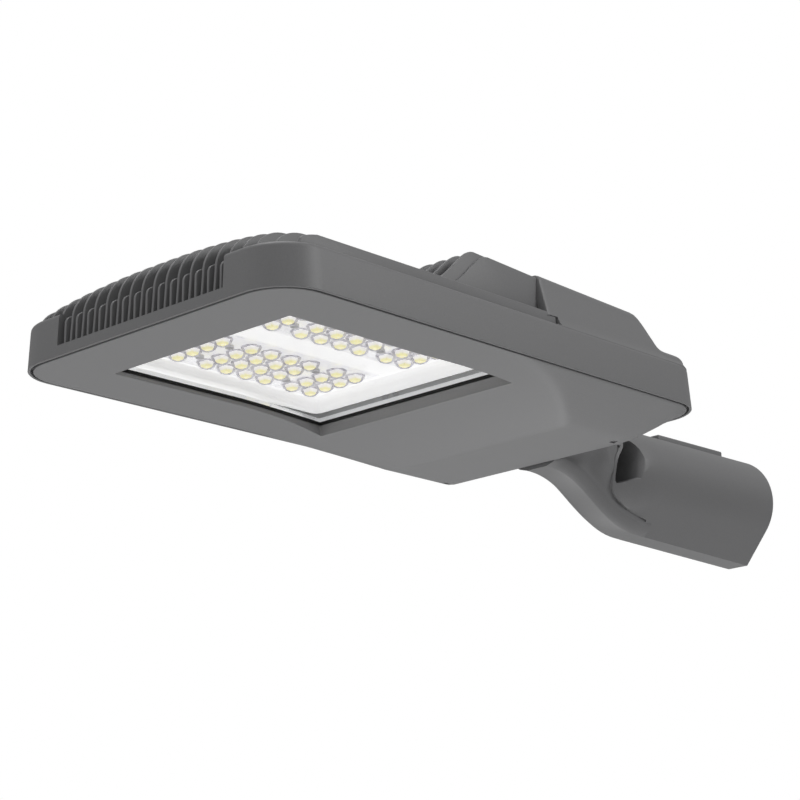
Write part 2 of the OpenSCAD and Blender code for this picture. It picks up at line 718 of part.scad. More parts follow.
// Section of the tube: a circle whose flanks run down to the keel strip
module tube_section(r, depth) {
  circle(r);
  translate([depth - 1, -keel_w / 2]) square([1, keel_w]);
}

// Tube with its keel, rounded off towards the head
module tube_body() {
  hull() {
    for (a = [8, 30, 50, 70, 90]) translate([neck_x1 - (neck_x1 - tube_x0) * cos(a), 0, 0])
      rotate([0, 90, 0]) linear_extrude(0.1) circle(tube_front_r * sin(a));
    translate([neck_x1, 0, 0]) rotate([0, 90, 0]) linear_extrude(0.1)
      tube_section(tube_front_r + 0.4, keel_z - keel_rise);
    translate([-0.1, 0, 0]) rotate([0, 90, 0]) linear_extrude(0.1) tube_section(tube_r, keel_z);
  }
}

// The tube cut back at its front, where the neck runs up in front of it
module tube_shell() {
  difference() {
    tube_body();
    across(3 * tube_r)
      polygon([[tube_x0 - 6, mouth_top - 2], [mouth_x0 - 2, mouth_top - 2], [mouth_x0 - 2, -12],
        [mouth_x0 + 16, -25], [neck_x1 + 4, 9 - keel_z], [neck_x1 + 10, -2 * keel_z],
        [tube_x0 - 6, -2 * keel_z]]);
  }
}

// Raised pad that follows the top of the tube and holds the set screws
module screw_pad() {
  across(2 * pad_half)
    polygon([[pad_x0, 0], [pad_x0, tube_front_r + pad_h + 0.5], [pad_x1, tube_r + pad_h - 0.2], [pad_x1, 0]]);
}

module spigot_arm() color([0.42, 0.42, 0.43]) difference() {
  union() {
    tube_shell();
    screw_pad();
    difference() {
      loft([for (i = [0:22]) neck_ring(i / 20)]);
      in_body() across(body_w) frame_side();
    }
  }
  // Pole socket, stop ring and room for the cable
  translate([-socket_l, 0, 0]) rotate([0, 90, 0]) cylinder(h = socket_l + 1, r = socket_r);
  translate([-socket_l - stop_t - 1, 0, 0]) rotate([0, 90, 0]) cylinder(h = stop_t + 2, r = cable_d / 2);
  translate([-socket_l - stop_t - cable_room_l, 0, 0]) rotate([0, 90, 0])
    cylinder(h = cable_room_l, r = socket_r - 1.5);
  translate([mouth_x0 + 1, 0, front_room_z]) rotate([0, 90, 0])
    cylinder(h = -mouth_x0 - socket_l - stop_t - cable_room_l, r = front_room_r);
  side_mouth();
  // Cable duct up into the lug of the housing
  in_body() {
    translate([duct_x, 0, -rim_z + 2]) rotate([0, 90, 0]) cylinder(h = 50, r = duct_r);
    translate([duct_x, 0, -rim_z + 2]) cylinder(h = 60, r = duct_r);
    for (s = [-1, 1]) translate([arm_bolt_x, s * arm_bolt_y, -arm_bolt_d]) cylinder(h = 60, r = arm_bolt_r);
  }
  set_screw_places() cylinder(h = 30, r = set_screw_d / 2);
}

// Arched openings in both sides of the tube, where the cable can be reached
module side_mouth() {
  r = mouth_w / 2;
  for (s = [-1, 1]) translate([0, s * (front_room_r - 2 + tube_r), 0]) {
    translate([mouth_x0 + r, 0, mouth_top - r]) rotate([90, 0, 0])
      cylinder(h = 2 * tube_r, r = r, center = true);
    across(2 * tube_r)
      polygon([[mouth_x0, mouth_top - r], [mouth_x0 + mouth_w, mouth_top - r],
        [mouth_x0 + mouth_w, mouth_low + 9], [mouth_x0, mouth_low]]);
  }
}

module set_screw_places() {
  for (i = [0, 1]) translate([-set_screw_x - i * set_screw_gap, 0, socket_r - 2]) children();
}

module arm_bolts() color([0.72, 0.72, 0.73]) in_body()
  for (s = [-1, 1]) translate([arm_bolt_x, s * arm_bolt_y, 0]) {
    translate([0, 0, -arm_bolt_d + 1]) cylinder(h = arm_bolt_d - 1 + lug_top + 1.8, r = arm_bolt_r - 0.1);
    translate([0, 0, lug_top + 1.6]) cylinder(h = 5.5, r = 7.2, $fn = 6);
  }

module arm_washers() color([0.72, 0.72, 0.73]) in_body()
  for (s = [-1, 1]) translate([arm_bolt_x, s * arm_bolt_y, lug_top]) difference() {
    cylinder(h = 1.6, r = 8);
    translate([0, 0, -1]) cylinder(h = 4, r = arm_bolt_r + 0.2);
  }

// Hexagon-socket set screws in the pad, clear of the bore
module set_screws() color([0.7, 0.7, 0.71])
  set_screw_places() translate([0, 0, 2.6]) difference() {
    cylinder(h = tube_r + pad_h - socket_r - 1.4, r = set_screw_d / 2 - 0.1);
    translate([0, 0, tube_r + pad_h - socket_r - 5]) cylinder(h = 10, r = 2.3, $fn = 6);
  }

housing();
lower_frame();
rim_gasket();
window_glass();
glass_gasket();
glass_clips();
reflector();
thermal_pad(-1);  // thermal_pad_left
thermal_pad(1);  // thermal_pad_right
led_board(-1);  // led_board_left
led_board(1);  // led_board_right
led_chips();
lens_plate(-1);  // lens_plate_left
lens_plate(1);  // lens_plate_right
optic_screws();
gear_tray();
tray_screws();
driver();
surge_protector();
terminal_block();
cable_clamp();
wire_grommet();
breather_plug();
frame_screws();
spigot_arm();
arm_bolts();
arm_washers();
set_screws();
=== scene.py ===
"""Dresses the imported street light: camera, studio, finishes and detailed pieces.

The pieces stand for plainer solids of the CAD model. Sizes are in millimetres and heights
count from the rim, where nothing else is said.
"""

import logging
import math
from collections.abc import Callable, Iterable, Sequence
from dataclasses import dataclass, field
from enum import Enum
from typing import Any

import bmesh
import bpy
from mathutils import Matrix, Vector


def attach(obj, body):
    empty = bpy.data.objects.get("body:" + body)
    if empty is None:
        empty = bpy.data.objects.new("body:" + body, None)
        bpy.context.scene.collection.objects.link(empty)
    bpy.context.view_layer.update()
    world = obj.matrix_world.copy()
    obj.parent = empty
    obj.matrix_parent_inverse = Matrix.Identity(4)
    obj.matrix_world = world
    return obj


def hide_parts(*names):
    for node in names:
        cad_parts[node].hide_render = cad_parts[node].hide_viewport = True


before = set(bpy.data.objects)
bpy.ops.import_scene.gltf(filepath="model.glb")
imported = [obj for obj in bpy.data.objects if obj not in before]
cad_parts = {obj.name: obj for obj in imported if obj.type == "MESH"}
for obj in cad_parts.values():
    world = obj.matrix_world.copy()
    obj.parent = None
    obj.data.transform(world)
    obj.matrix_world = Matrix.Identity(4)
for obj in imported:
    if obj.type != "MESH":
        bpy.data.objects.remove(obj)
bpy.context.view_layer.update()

log = logging.getLogger("street_light")

MM = 0.001
HEAD_FRONT = 611.0
RIM_HEIGHT = 13.5
WELD = 0.000005
CURVE_STEPS = 16
BODY = "root"
WHITE = (1.0, 1.0, 1.0, 1.0)
Test = Callable[[Vector, Vector], bool]
Point = tuple[float, float]
Colour = tuple[float, float, float]


def head(x: float, y: float, z: float) -> Vector:
    """Turns millimetres from the rim's front, the middle plane and the rim into the part's metres."""
    return Vector(((x - HEAD_FRONT) * MM, y * MM, (z + RIM_HEIGHT) * MM))


def arm(x: float, y: float, z: float) -> Vector:
    """Turns millimetres from the middle of the pole socket's mouth into metres."""
    return Vector((x * MM, y * MM, z * MM))


class Mix(Enum):
    """What becomes of two solids that are combined."""

    ADD = "UNION"
    CUT = "DIFFERENCE"


# ---------------------------------------------------------------- modelling


class Bench:
    """The modelling steps that every piece is made with."""

    @staticmethod
    def clear() -> None:
        """Leaves edit mode and deselects everything."""
        if bpy.context.object and bpy.context.object.mode != "OBJECT":
            bpy.ops.object.mode_set(mode="OBJECT")
        bpy.ops.object.select_all(action="DESELECT")

    @staticmethod
    def take(piece: bpy.types.Object) -> None:
        """Makes a piece the only selected and active one."""
        Bench.clear()
        piece.select_set(True)
        bpy.context.view_layer.objects.active = piece

    @staticmethod
    def settle(name: str) -> bpy.types.Object:
        """Names the active piece and applies its place.

        Args:
            name: the piece's name.

        Returns:
            The piece, its object at the origin.
        """
        piece = bpy.context.object
        bpy.ops.object.transform_apply(location=True, rotation=True, scale=True)
        piece.name = name
        piece.data.name = name
        return piece

    @staticmethod
    def block(name: str, low: Vector, high: Vector) -> bpy.types.Object:
        """Adds a cube primitive that fills a box.

        Args:
            name: the piece's name.
            low: lowest corner, in metres.
            high: highest corner, in metres.

        Returns:
            The piece.
        """
        Bench.clear()
        bpy.ops.mesh.primitive_cube_add(size=1, location=(low + high) / 2)
        bpy.context.object.scale = high - low
        return Bench.settle(name)

    @staticmethod
    def rod(
        name: str, base: Vector, axis: Vector, radius: float, length: float, sides: int
    ) -> bpy.types.Object:
        """Adds a cylinder primitive that starts at a point.

        Args:
            name: the piece's name.
            base: centre of the first end, in metres.
            axis: direction of the second end.
            radius: radius of the rod.
            length: length of the rod.
            sides: number of sides.

        Returns:
            The piece.
        """
        Bench.clear()
        way = axis.normalized()
        bpy.ops.mesh.primitive_cylinder_add(
            vertices=sides,
            radius=radius * MM,
            depth=length * MM,
            location=base + way * (length * MM / 2),
        )
        bpy.context.object.rotation_mode = "QUATERNION"
        bpy.context.object.rotation_quaternion = way.to_track_quat("Z", "Y")
        return Bench.settle(name)

    @staticmethod
    def panel(name: str, ring: Sequence[Vector]) -> bpy.types.Object:
        """Adds a filled ring primitive and sets its corners on the given points.

        Args:
            name: the piece's name.
            ring: the corners, in metres, in order.

        Returns:
            The flat piece.
        """
        Bench.clear()
        bpy.ops.mesh.primitive_circle_add(vertices=len(ring), radius=1.0, fill_type="NGON")
        piece = Bench.settle(name)
        for corner, place in zip(piece.data.vertices, ring):
            corner.co = place
        return piece

    @staticmethod
    def prism(name: str, ring: Sequence[Vector], way: Vector) -> bpy.types.Object:
        """Extrudes a filled ring into a solid.

        Args:
            name: the piece's name.
            ring: the corners of the profile, in metres.
            way: the extrusion, in metres.

        Returns:
            The solid, its normals outward.
        """
        piece = Bench.panel(name, ring)
        Bench.faces(piece)
        bpy.ops.mesh.extrude_region_move(TRANSFORM_OT_translate={"value": way})
        Bench.outward(piece)
        return piece

    @staticmethod
    def skin(name: str, rings: Sequence[Sequence[Vector]], loop: bool = False) -> bpy.types.Object:
        """Lays a grid primitive on a row of closed rings and welds it into a solid.

        Args:
            name: the piece's name.
            rings: rings with the same number of points, in metres.
            loop: True where the last ring runs into the first, as on a frame.

        Returns:
            The solid, its normals outward.
        """
        Bench.clear()
        rows = [*rings, rings[0]] if loop else list(rings)
        around = len(rows[0])
        bpy.ops.mesh.primitive_grid_add(x_subdivisions=around, y_subdivisions=len(rows) - 1, size=1.0)
        piece = Bench.settle(name)
        corners = piece.data.vertices
        for j, row in enumerate(rows):
            for i in range(around + 1):
                corners[j * (around + 1) + i].co = row[i % around]
        Bench.faces(piece)
        bpy.ops.mesh.remove_doubles(threshold=WELD)
        if not loop:
            bpy.ops.mesh.select_all(action="SELECT")
            bpy.ops.mesh.fill_holes(sides=0)
        Bench.outward(piece)
        return piece

    @staticmethod
    def faces(piece: bpy.types.Object, test: Test = lambda centre, normal: True) -> None:
        """Enters edit mode and selects the faces that pass a test, or else all of them.

        Args:
            piece: the piece to edit.
            test: takes a face's middle and its normal.
        """
        Bench.take(piece)
        bpy.ops.object.mode_set(mode="EDIT")
        bpy.ops.mesh.select_mode(type="FACE")
        bpy.ops.mesh.select_all(action="DESELECT")
        net = bmesh.from_edit_mesh(piece.data)
        for face in net.faces:
            if test(face.calc_center_median(), face.normal):
                face.select_set(True)
        net.select_flush_mode()
        bmesh.update_edit_mesh(piece.data)

    @staticmethod
    def outward(piece: bpy.types.Object) -> None:
        """Merges doubles and turns every face outward."""
        Bench.faces(piece)
        bpy.ops.mesh.remove_doubles(threshold=WELD)
        bpy.ops.mesh.select_all(action="SELECT")
        bpy.ops.mesh.normals_make_consistent(inside=False)
        Bench.clear()

    @staticmethod
    def combine(piece: bpy.types.Object, other: bpy.types.Object, how: Mix) -> None:
        """Adds a solid to another or cuts it away, and uses it up.

        Args:
            piece: the solid that stays.
            other: the solid that is used up.
            how: what becomes of the two.
        """
        Bench.take(piece)
        step = piece.modifiers.new("combine", "BOOLEAN")
        step.operation = how.value
        step.solver = "EXACT"
        step.object = other
        bpy.ops.object.modifier_apply(modifier=step.name)
        bpy.data.objects.remove(other, do_unlink=True)

    @staticmethod
    def soften(piece: bpy.types.Object, width: float, steps: int = 3, angle: float = 40.0) -> None:
        """Rounds the sharp edges of a solid.

        Args:
            piece: the solid.
            width: width of the rounding.
            steps: number of segments.
            angle: edges sharper than this, in degrees, are rounded.
        """
        Bench.take(piece)
        step = piece.modifiers.new("soften", "BEVEL")
        step.width = width * MM
        step.segments = steps
        step.limit_method = "ANGLE"
        step.angle_limit = math.radians(angle)
        bpy.ops.object.modifier_apply(modifier=step.name)

    @staticmethod
    def smooth(piece: bpy.types.Object, angle: float = 30.0) -> None:
        """Shades a piece smooth, apart from edges sharper than the angle in degrees."""
        Bench.take(piece)
        bpy.ops.object.shade_smooth_by_angle(angle=math.radians(angle))

    @staticmethod
    def copy(piece: bpy.types.Object, name: str, shift: Vector) -> bpy.types.Object:
        """Copies a piece with a mesh of its own.

        Args:
            piece: the piece to copy.
            name: the copy's name.
            shift: how far the copy is moved, in metres.

        Returns:
            The copy.
        """
        twin = piece.copy()
        twin.data = piece.data.copy()
        twin.data.transform(Matrix.Translation(shift))
        twin.name = name
        bpy.context.scene.collection.objects.link(twin)
        return twin

    @staticmethod
    def join(pieces: Sequence[bpy.types.Object], name: str) -> bpy.types.Object:
        """Joins pieces into one object.

        Args:
            pieces: the pieces; the first takes in the others.
            name: the name of the result.

        Returns:
            The joined piece.
        """
        Bench.clear()
        for piece in pieces:
            piece.select_set(True)
        bpy.context.view_layer.objects.active = pieces[0]
        if len(pieces) > 1:
            bpy.ops.object.join()
        pieces[0].name = name
        pieces[0].data.name = name
        return pieces[0]


def between(a: Point, b: Point, part: float, parts: float = 1) -> Point:
    """Gives the point that lies a number of parts on the way from one point to another."""
    return a[0] + (b[0] - a[0]) * part / parts, a[1] + (b[1] - a[1]) * part / parts


def plan(
    x0: float, x1: float, half: float, radius: float, steps: int, long: int = 1, short: int = 1
) -> list[Point]:
    """Lists the corners of a rounded rectangle on the head's middle plane.

    Args:
        x0: front end, from the rim's front.
        x1: rear end.
        half: half the width.
        radius: corner radius.
        steps: segments of each corner.
        long: parts of each side along the head.
        short: parts of each side across the head.

    Returns:
        The x and y of each point.
    """
    ring: list[Point] = []
    corners = [(x1, half, 0), (x0, half, 90), (x0, -half, 180), (x1, -half, 270)]
    middles = [
        (x - math.copysign(radius, x - (x0 + x1) / 2), y - math.copysign(radius, y), start)
        for x, y, start in corners
    ]
    for k, (mx, my, start) in enumerate(middles):
        for i in range(steps + 1):
            a = math.radians(start + 90 * i / steps)
            ring.append((mx + radius * math.cos(a), my + radius * math.sin(a)))
        nx, ny, turn = middles[(k + 1) % 4]
        b = math.radians(turn)
        end = (nx + radius * math.cos(b), ny + radius * math.sin(b))
        last = ring[-1]
        parts = long if k % 2 == 0 else short
        ring += [between(last, end, i, parts) for i in range(1, parts)]
    return ring


def lift(ring: Iterable[Point], z: float) -> list[Vector]:
    """Raises a plan to a height over the rim, in metres."""
    return [head(x, y, z) for x, y in ring]


def ease(t: float) -> float:
    """Gives a smooth step from 0 to 1."""
    t = max(0.0, min(1.0, t))
    return t * t * (3 - 2 * t)


def along(x: float, rows: Sequence[Point], width: float = 0.0) -> float:
    """Reads a value off a row of points, rounded over a width.

    Args:
        x: where to read.
        rows: points of x and value, by rising x.
        width: half the length over which corners are rounded.

    Returns:
        The value.
    """
    if width:
        return sum(along(x + width * k / 4, rows) for k in range(-4, 5)) / 9
    if x <= rows[0][0]:
        return rows[0][1]
    for (xa, va), (xb, vb) in zip(rows, rows[1:]):
        if x <= xb:
            return va + (vb - va) * (x - xa) / (xb - xa)
    return rows[-1][1]


def lower(a: float, b: float, soft: float) -> float:
    """Gives the smaller of two values, with the change between them rounded over a width."""
    h = max(0.0, soft - abs(a - b)) / soft
    return min(a, b) - h * h * soft / 4


# ---------------------------------------------------------------- shader maths


class Wire:
    """A shader socket that takes part in Python expressions."""

    def __init__(self, desk: "Desk", socket: bpy.types.NodeSocket) -> None:
        """Wraps an output socket of a tree."""
        self.desk = desk
        self.socket = socket

    def _math(self, operation: str, *values: Any) -> "Wire":
        """Adds a Math node for one operation."""
        return self.desk.node("ShaderNodeMath", dict(enumerate(values)), operation=operation)

    def __add__(self, other: Any) -> "Wire":
        """Adds two values."""
        return self._math("ADD", self, other)

    def __sub__(self, other: Any) -> "Wire":
        """Takes one value from another."""
        return self._math("SUBTRACT", self, other)

    def __rsub__(self, other: Any) -> "Wire":
        """Takes this value from a number."""
        return self._math("SUBTRACT", other, self)

    def __mul__(self, other: Any) -> "Wire":
        """Multiplies two values."""
        return self._math("MULTIPLY", self, other)


def shade(hexa: str) -> Colour:
    """Turns a written sRGB colour such as 6b6b6b into linear red, green and blue."""
    parts = [int(hexa[i : i + 2], 16) / 255 for i in (0, 2, 4)]
    return tuple(p / 12.92 if p <= 0.04045 else ((p + 0.055) / 1.055) ** 2.4 for p in parts)


class Desk:
    """The shader tree of one material or world, and the means to wire it."""

    def __init__(self, owner: bpy.types.Material | bpy.types.World) -> None:
        """Empties the owner's tree."""
        self.owner = owner
        owner.use_nodes = True
        self.tree = owner.node_tree
        self.tree.nodes.clear()

    def node(
        self, kind: str, inputs: dict[Any, Any] | None = None, out: Any = 0, **settings: Any
    ) -> Wire:
        """Adds a node.

        Args:
            kind: the node's type.
            inputs: values or wires by socket name or number.
            out: name or number of the output that is returned.
            settings: attributes set before the sockets.

        Returns:
            The chosen output.
        """
        made = self.tree.nodes.new(kind)
        for key, value in settings.items():
            setattr(made, key, value)
        for key, value in (inputs or {}).items():
            if isinstance(value, Wire):
                self.tree.links.new(value.socket, made.inputs[key])
            else:
                made.inputs[key].default_value = value
        return Wire(self, made.outputs[out])

    def place(self) -> Wire:
        """Gives the object's own coordinates."""
        return self.node("ShaderNodeTexCoord", out="Object")

    def noise(self, scale: float, detail: float = 2.0, roughness: float = 0.5) -> Wire:
        """Gives a noise value on object coordinates, with its scale in repeats for each metre."""
        inputs = {"Vector": self.place(), "Scale": scale, "Detail": detail, "Roughness": roughness}
        return self.node("ShaderNodeTexNoise", inputs)

    def blend(self, factor: Wire, a: str, b: str) -> Wire:
        """Mixes two written colours, the first where the factor is 0 and the second where it is 1."""
        inputs = {0: factor, 6: (*shade(a), 1.0), 7: (*shade(b), 1.0)}
        return self.node("ShaderNodeMix", inputs, out=2, data_type="RGBA")

    def clamp(self, value: Wire) -> Wire:
        """Keeps a value between 0 and 1."""
        return self.node("ShaderNodeClamp", {"Value": value})

    def bump(self, height: Wire, strength: float, distance: float) -> Wire:
        """Turns a height into a normal, with its depth in metres."""
        inputs = {"Height": height, "Strength": strength, "Distance": distance}
        return self.node("ShaderNodeBump", inputs)

    def over(self, share: Wire, below: Wire, above: Wire) -> Wire:
        """Lays a share of one shader over another."""
        return self.node("ShaderNodeMixShader", {0: share, 1: below, 2: above})

    def gloss(self, roughness: float) -> Wire:
        """Adds a white mirror shader."""
        return self.node("ShaderNodeBsdfGlossy", {"Color": WHITE, "Roughness": roughness}, out="BSDF")

    def through(self, tint: str) -> Wire:
        """Adds a shader that lets light through in a written colour."""
        return self.node("ShaderNodeBsdfTransparent", {"Color": (*shade(tint), 1.0)}, out="BSDF")

    def principled(
        self, base: Wire, rough: Any, normal: Wire | None = None, glow: float = 0.0, **more: Any
    ) -> Wire:
        """Adds the main shader.

        Args:
            base: the colour.
            rough: the roughness.
            normal: the normal, where it is bumped.
            glow: strength of the painted glow, light that the colour gives by itself though the piece is
                no lamp.
            more: other inputs by name, with a line for a space.

        Returns:
            The shader.
        """
        inputs = {"Base Color": base, "Roughness": rough}
        if normal:
            inputs["Normal"] = normal
        # Painted glow: emission in the surface's own colour.
        if glow:
            inputs |= {"Emission Color": base, "Emission Strength": glow}
        inputs |= {key.replace("_", " "): value for key, value in more.items()}
        return self.node("ShaderNodeBsdfPrincipled", inputs, out="BSDF")

    def finish(self, surface: Wire, end: str = "ShaderNodeOutputMaterial") -> Any:
        """Ends the tree with a surface.

        Args:
            surface: the shader.
            end: type of the last node.

        Returns:
            The owner of the tree.
        """
        last = self.tree.nodes.new(end)
        self.tree.links.new(surface.socket, last.inputs["Surface"])
        return self.owner


@dataclass(frozen=True)
class Finish:
    """What every finish has: a name and a material."""

    name: str

    def desk(self) -> Desk:
        """Starts the finish's material."""
        return Desk(bpy.data.materials.new(self.name))

    def make(self) -> bpy.types.Material:
        """Wires the finish."""
        raise NotImplementedError


@dataclass(frozen=True)
class PowderCoat(Finish):
    """Fine-grained satin powder coat on cast metal."""

    colour: str
    deep: str
    roughness: float = 0.46
    grain: float = 0.35

    def make(self) -> bpy.types.Material:
        """Wires the finish: a fine speckle, a faint cloudiness and a pebbled bump."""
        desk = self.desk()
        speckle = desk.noise(2600.0)
        cloud = desk.noise(14.0, 3.0)
        pebble = desk.noise(1500.0, 3.0, 0.6)
        base = desk.blend((speckle - 0.35) * 2.2, self.deep, self.colour)
        rough = (cloud - 0.5) * 0.10 + (speckle - 0.5) * 0.16 + self.roughness
        normal = desk.bump(pebble, self.grain, 0.00006)
        return desk.finish(desk.principled(base, rough, normal, IOR=1.45))


@dataclass(frozen=True)
class Rubber(Finish):
    """Matt black rubber with a dusty grain."""

    colour: str = "101010"
    deep: str = "080808"

    def make(self) -> bpy.types.Material:
        """Wires the finish."""
        desk = self.desk()
        dust = desk.noise(420.0, 4.0)
        normal = desk.bump(desk.noise(3000.0), 0.2, 0.00005)
        base = desk.blend(dust, self.deep, self.colour)
        return desk.finish(desk.principled(base, dust * 0.15 + 0.62, normal))


@dataclass(frozen=True)
class Moulding(Finish):
    """Moulded plastic with a faint grain, and a painted glow where one is given."""

    colour: str
    deep: str
    roughness: float = 0.45
    # Painted glow: light that the colour gives by itself, though the piece is no lamp.
    glow: float = 0.0

    def make(self) -> bpy.types.Material:
        """Wires the finish."""
        desk = self.desk()
        base = desk.blend(desk.noise(60.0, 3.0), self.deep, self.colour)
        grain = desk.noise(1800.0)
        rough = (grain - 0.5) * 0.12 + self.roughness
        return desk.finish(desk.principled(base, rough, desk.bump(grain, 0.12, 0.00004), self.glow))


@dataclass(frozen=True)
class Steel(Finish):
    """Plain zinc-coated or bright steel."""

    colour: str
    deep: str
    roughness: float = 0.32

    def make(self) -> bpy.types.Material:
        """Wires the finish."""
        desk = self.desk()
        flake = desk.noise(900.0, 3.0)
        base = desk.blend(flake, self.deep, self.colour)
        rough = (flake - 0.5) * 0.2 + self.roughness
        return desk.finish(desk.principled(base, rough, desk.bump(flake, 0.1, 0.00003), Metallic=1.0))


@dataclass(frozen=True)
class ClearPane(Finish):
    """Flat toughened glass: see-through, with a gloss that grows at a grazing angle."""

    tint: str = "fefefe"

    def make(self) -> bpy.types.Material:
        """Wires the finish."""
        desk = self.desk()
        film = desk.noise(40.0)
        fresnel = desk.node("ShaderNodeFresnel", {"IOR": 1.3})
        share = fresnel * 0.3 + (film - 0.5) * 0.01
        return desk.finish(desk.over(share, desk.through(self.tint), desk.gloss(0.03)))


@dataclass(frozen=True)
class LensPlate(Finish):
    """Clear optical plastic over a white board, with faint flow marks."""

    colour: str = "f6f6f8"
    deep: str = "e9e9ee"

    def make(self) -> bpy.types.Material:
        """Wires the finish, with a painted glow."""
        desk = self.desk()
        flow = desk.noise(160.0, 3.0)
        base = desk.blend(flow, self.deep, self.colour)
        normal = desk.bump(flow, 0.15, 0.0002)
        # The glow of 0.5 is painted light: the plate gives light by itself.
        return desk.finish(desk.principled(base, flow * 0.1 + 0.12, normal, 0.5, Coat_Weight=0.5))


@dataclass(frozen=True)
class Bubble(Finish):
    """Clear bubble lens: see-through in the middle, glossy, with grey-lilac painted shade towards its
    rim.
    """

    tint: str = "f6f6fb"
    # Colours of the painted shade towards the lens's rim.
    rim: str = "a9a7b8"
    painted_rim_shade_pale: str = "c2c0ce"

    def make(self) -> bpy.types.Material:
        """Wires the finish."""
        desk = self.desk()
        ripple = desk.noise(300.0)
        # Painted shade: the clear lens darkens to grey-lilac towards its rim.
        edge = desk.principled(desk.blend(ripple, self.rim, self.painted_rim_shade_pale), 0.12, IOR=1.45)
        facing = desk.node("ShaderNodeLayerWeight", {"Blend": 0.3}, out="Facing")
        share = facing * facing * 0.75 + ripple * 0.12
        body = desk.over(share, desk.through(self.tint), edge)
        fresnel = desk.node("ShaderNodeFresnel", {"IOR": 1.45})
        return desk.finish(desk.over(fresnel * 0.7, body, desk.gloss(0.06)))


@dataclass(frozen=True)
class Facets(Finish):
    """Foot of a bubble lens: grey-lilac, broken into small pale and dark patches that are painted
    reflections and shade.
    """

    pale: str = "dddbe4"
    dark: str = "8a8796"

    def make(self) -> bpy.types.Material:
        """Wires the finish, with a painted glow."""
        desk = self.desk()
        patch = desk.noise(420.0, 1.5)
        # Painted reflections and shade: the patch noise mixes pale and dark grey-lilac; the glow of 0.2
        # is painted light.
        share = desk.clamp((patch - 0.47) * 7.0)
        base = desk.blend(share, self.pale, self.dark)
        return desk.finish(desk.principled(base, share * 0.2 + 0.15, desk.bump(patch, 0.3, 0.0002), 0.2))


@dataclass(frozen=True)
class Phosphor(Finish):
    """Light source under its lens: white flanks and a pale yellow face."""

    flank: str = "fbfaf4"
    face: str = "f5eeaa"
    face_height: float = 0.0306

    def make(self) -> bpy.types.Material:
        """Wires the finish: the colour runs from white at the foot to yellow at the face, with a painted
        glow.
        """
        desk = self.desk()
        z = desk.node("ShaderNodeSeparateXYZ", {"Vector": desk.place()}, out="Z")
        speck = desk.noise(700.0)
        rise = (self.face_height - z) * 600.0 + (speck - 0.5) * 0.8
        base = desk.blend(desk.clamp(rise), self.flank, self.face)
        normal = desk.bump(speck, 0.1, 0.0001)
        # Painted glow of 0.75: the source gives light by itself, though in this scene it is no lamp.
        return desk.finish(desk.principled(base, speck * 0.2 + 0.3, normal, 0.75))


# ---------------------------------------------------------------- the object


@dataclass
class Light:
    """What every sub-assembly shares: the finishes, made once."""

    body_paint: Finish = PowderCoat("body_powder_coat", "868687", "7a7a7b")
    # Painted light: the frame's coat is a lighter copy of the body's one powder coat.
    frame_paint: Finish = PowderCoat("frame_powder_coat_painted_light", "8c8c8d", "808081")
    # Painted shade: the arm's coat is a darker copy of the same powder coat.
    arm_paint: Finish = PowderCoat("arm_powder_coat_painted_shade", "828283", "767677")
    seal: Finish = Rubber("seal_rubber")
    made: dict[str, bpy.types.Material] = field(default_factory=dict)

    def material(self, finish: Finish) -> bpy.types.Material:
        """Makes a finish's material, or finds it if it is made already."""
        if finish.name not in self.made:
            self.made[finish.name] = finish.make()
        return self.made[finish.name]

    def dress(self, piece: bpy.types.Object, finish: Finish, slot: str) -> None:
        """Gives a new piece its finish and its body, and logs its face count.

        Args:
            piece: the piece.
            finish: the finish.
            slot: not used.
        """
        piece.data.materials.clear()
        piece.data.materials.append(self.material(finish))
        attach(piece, BODY)
        log.info("%s: %d faces", piece.name, len(piece.data.polygons))

    def coat(self, node: str, finish: Finish) -> None:
        """Gives a CAD node its finish.

        Args:
            node: the node's name.
            finish: the finish.
        """
        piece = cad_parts[node]
        if not piece.material_slots:
            piece.data.materials.append(None)
        for place in piece.material_slots:
            place.material = self.material(finish)


@dataclass(frozen=True)
class Lamp:
    """A square soft lamp: its place and edge in metres and its power in watts."""

    name: str
    place: tuple[float, float, float]
    size: float
    power: float

    def add(self, target: Vector) -> None:
        """Stands the lamp in its place and turns it to a point."""
        data = bpy.data.lights.new(self.name, "AREA")
        data.shape = "SQUARE"
        data.size = self.size
        data.energy = self.power
        lamp = bpy.data.objects.new(self.name, data)
        lamp.location = self.place
        lamp.rotation_mode = "QUATERNION"
        lamp.rotation_quaternion = (target - Vector(self.place)).to_track_quat("-Z", "Y")
        bpy.context.scene.collection.objects.link(lamp)


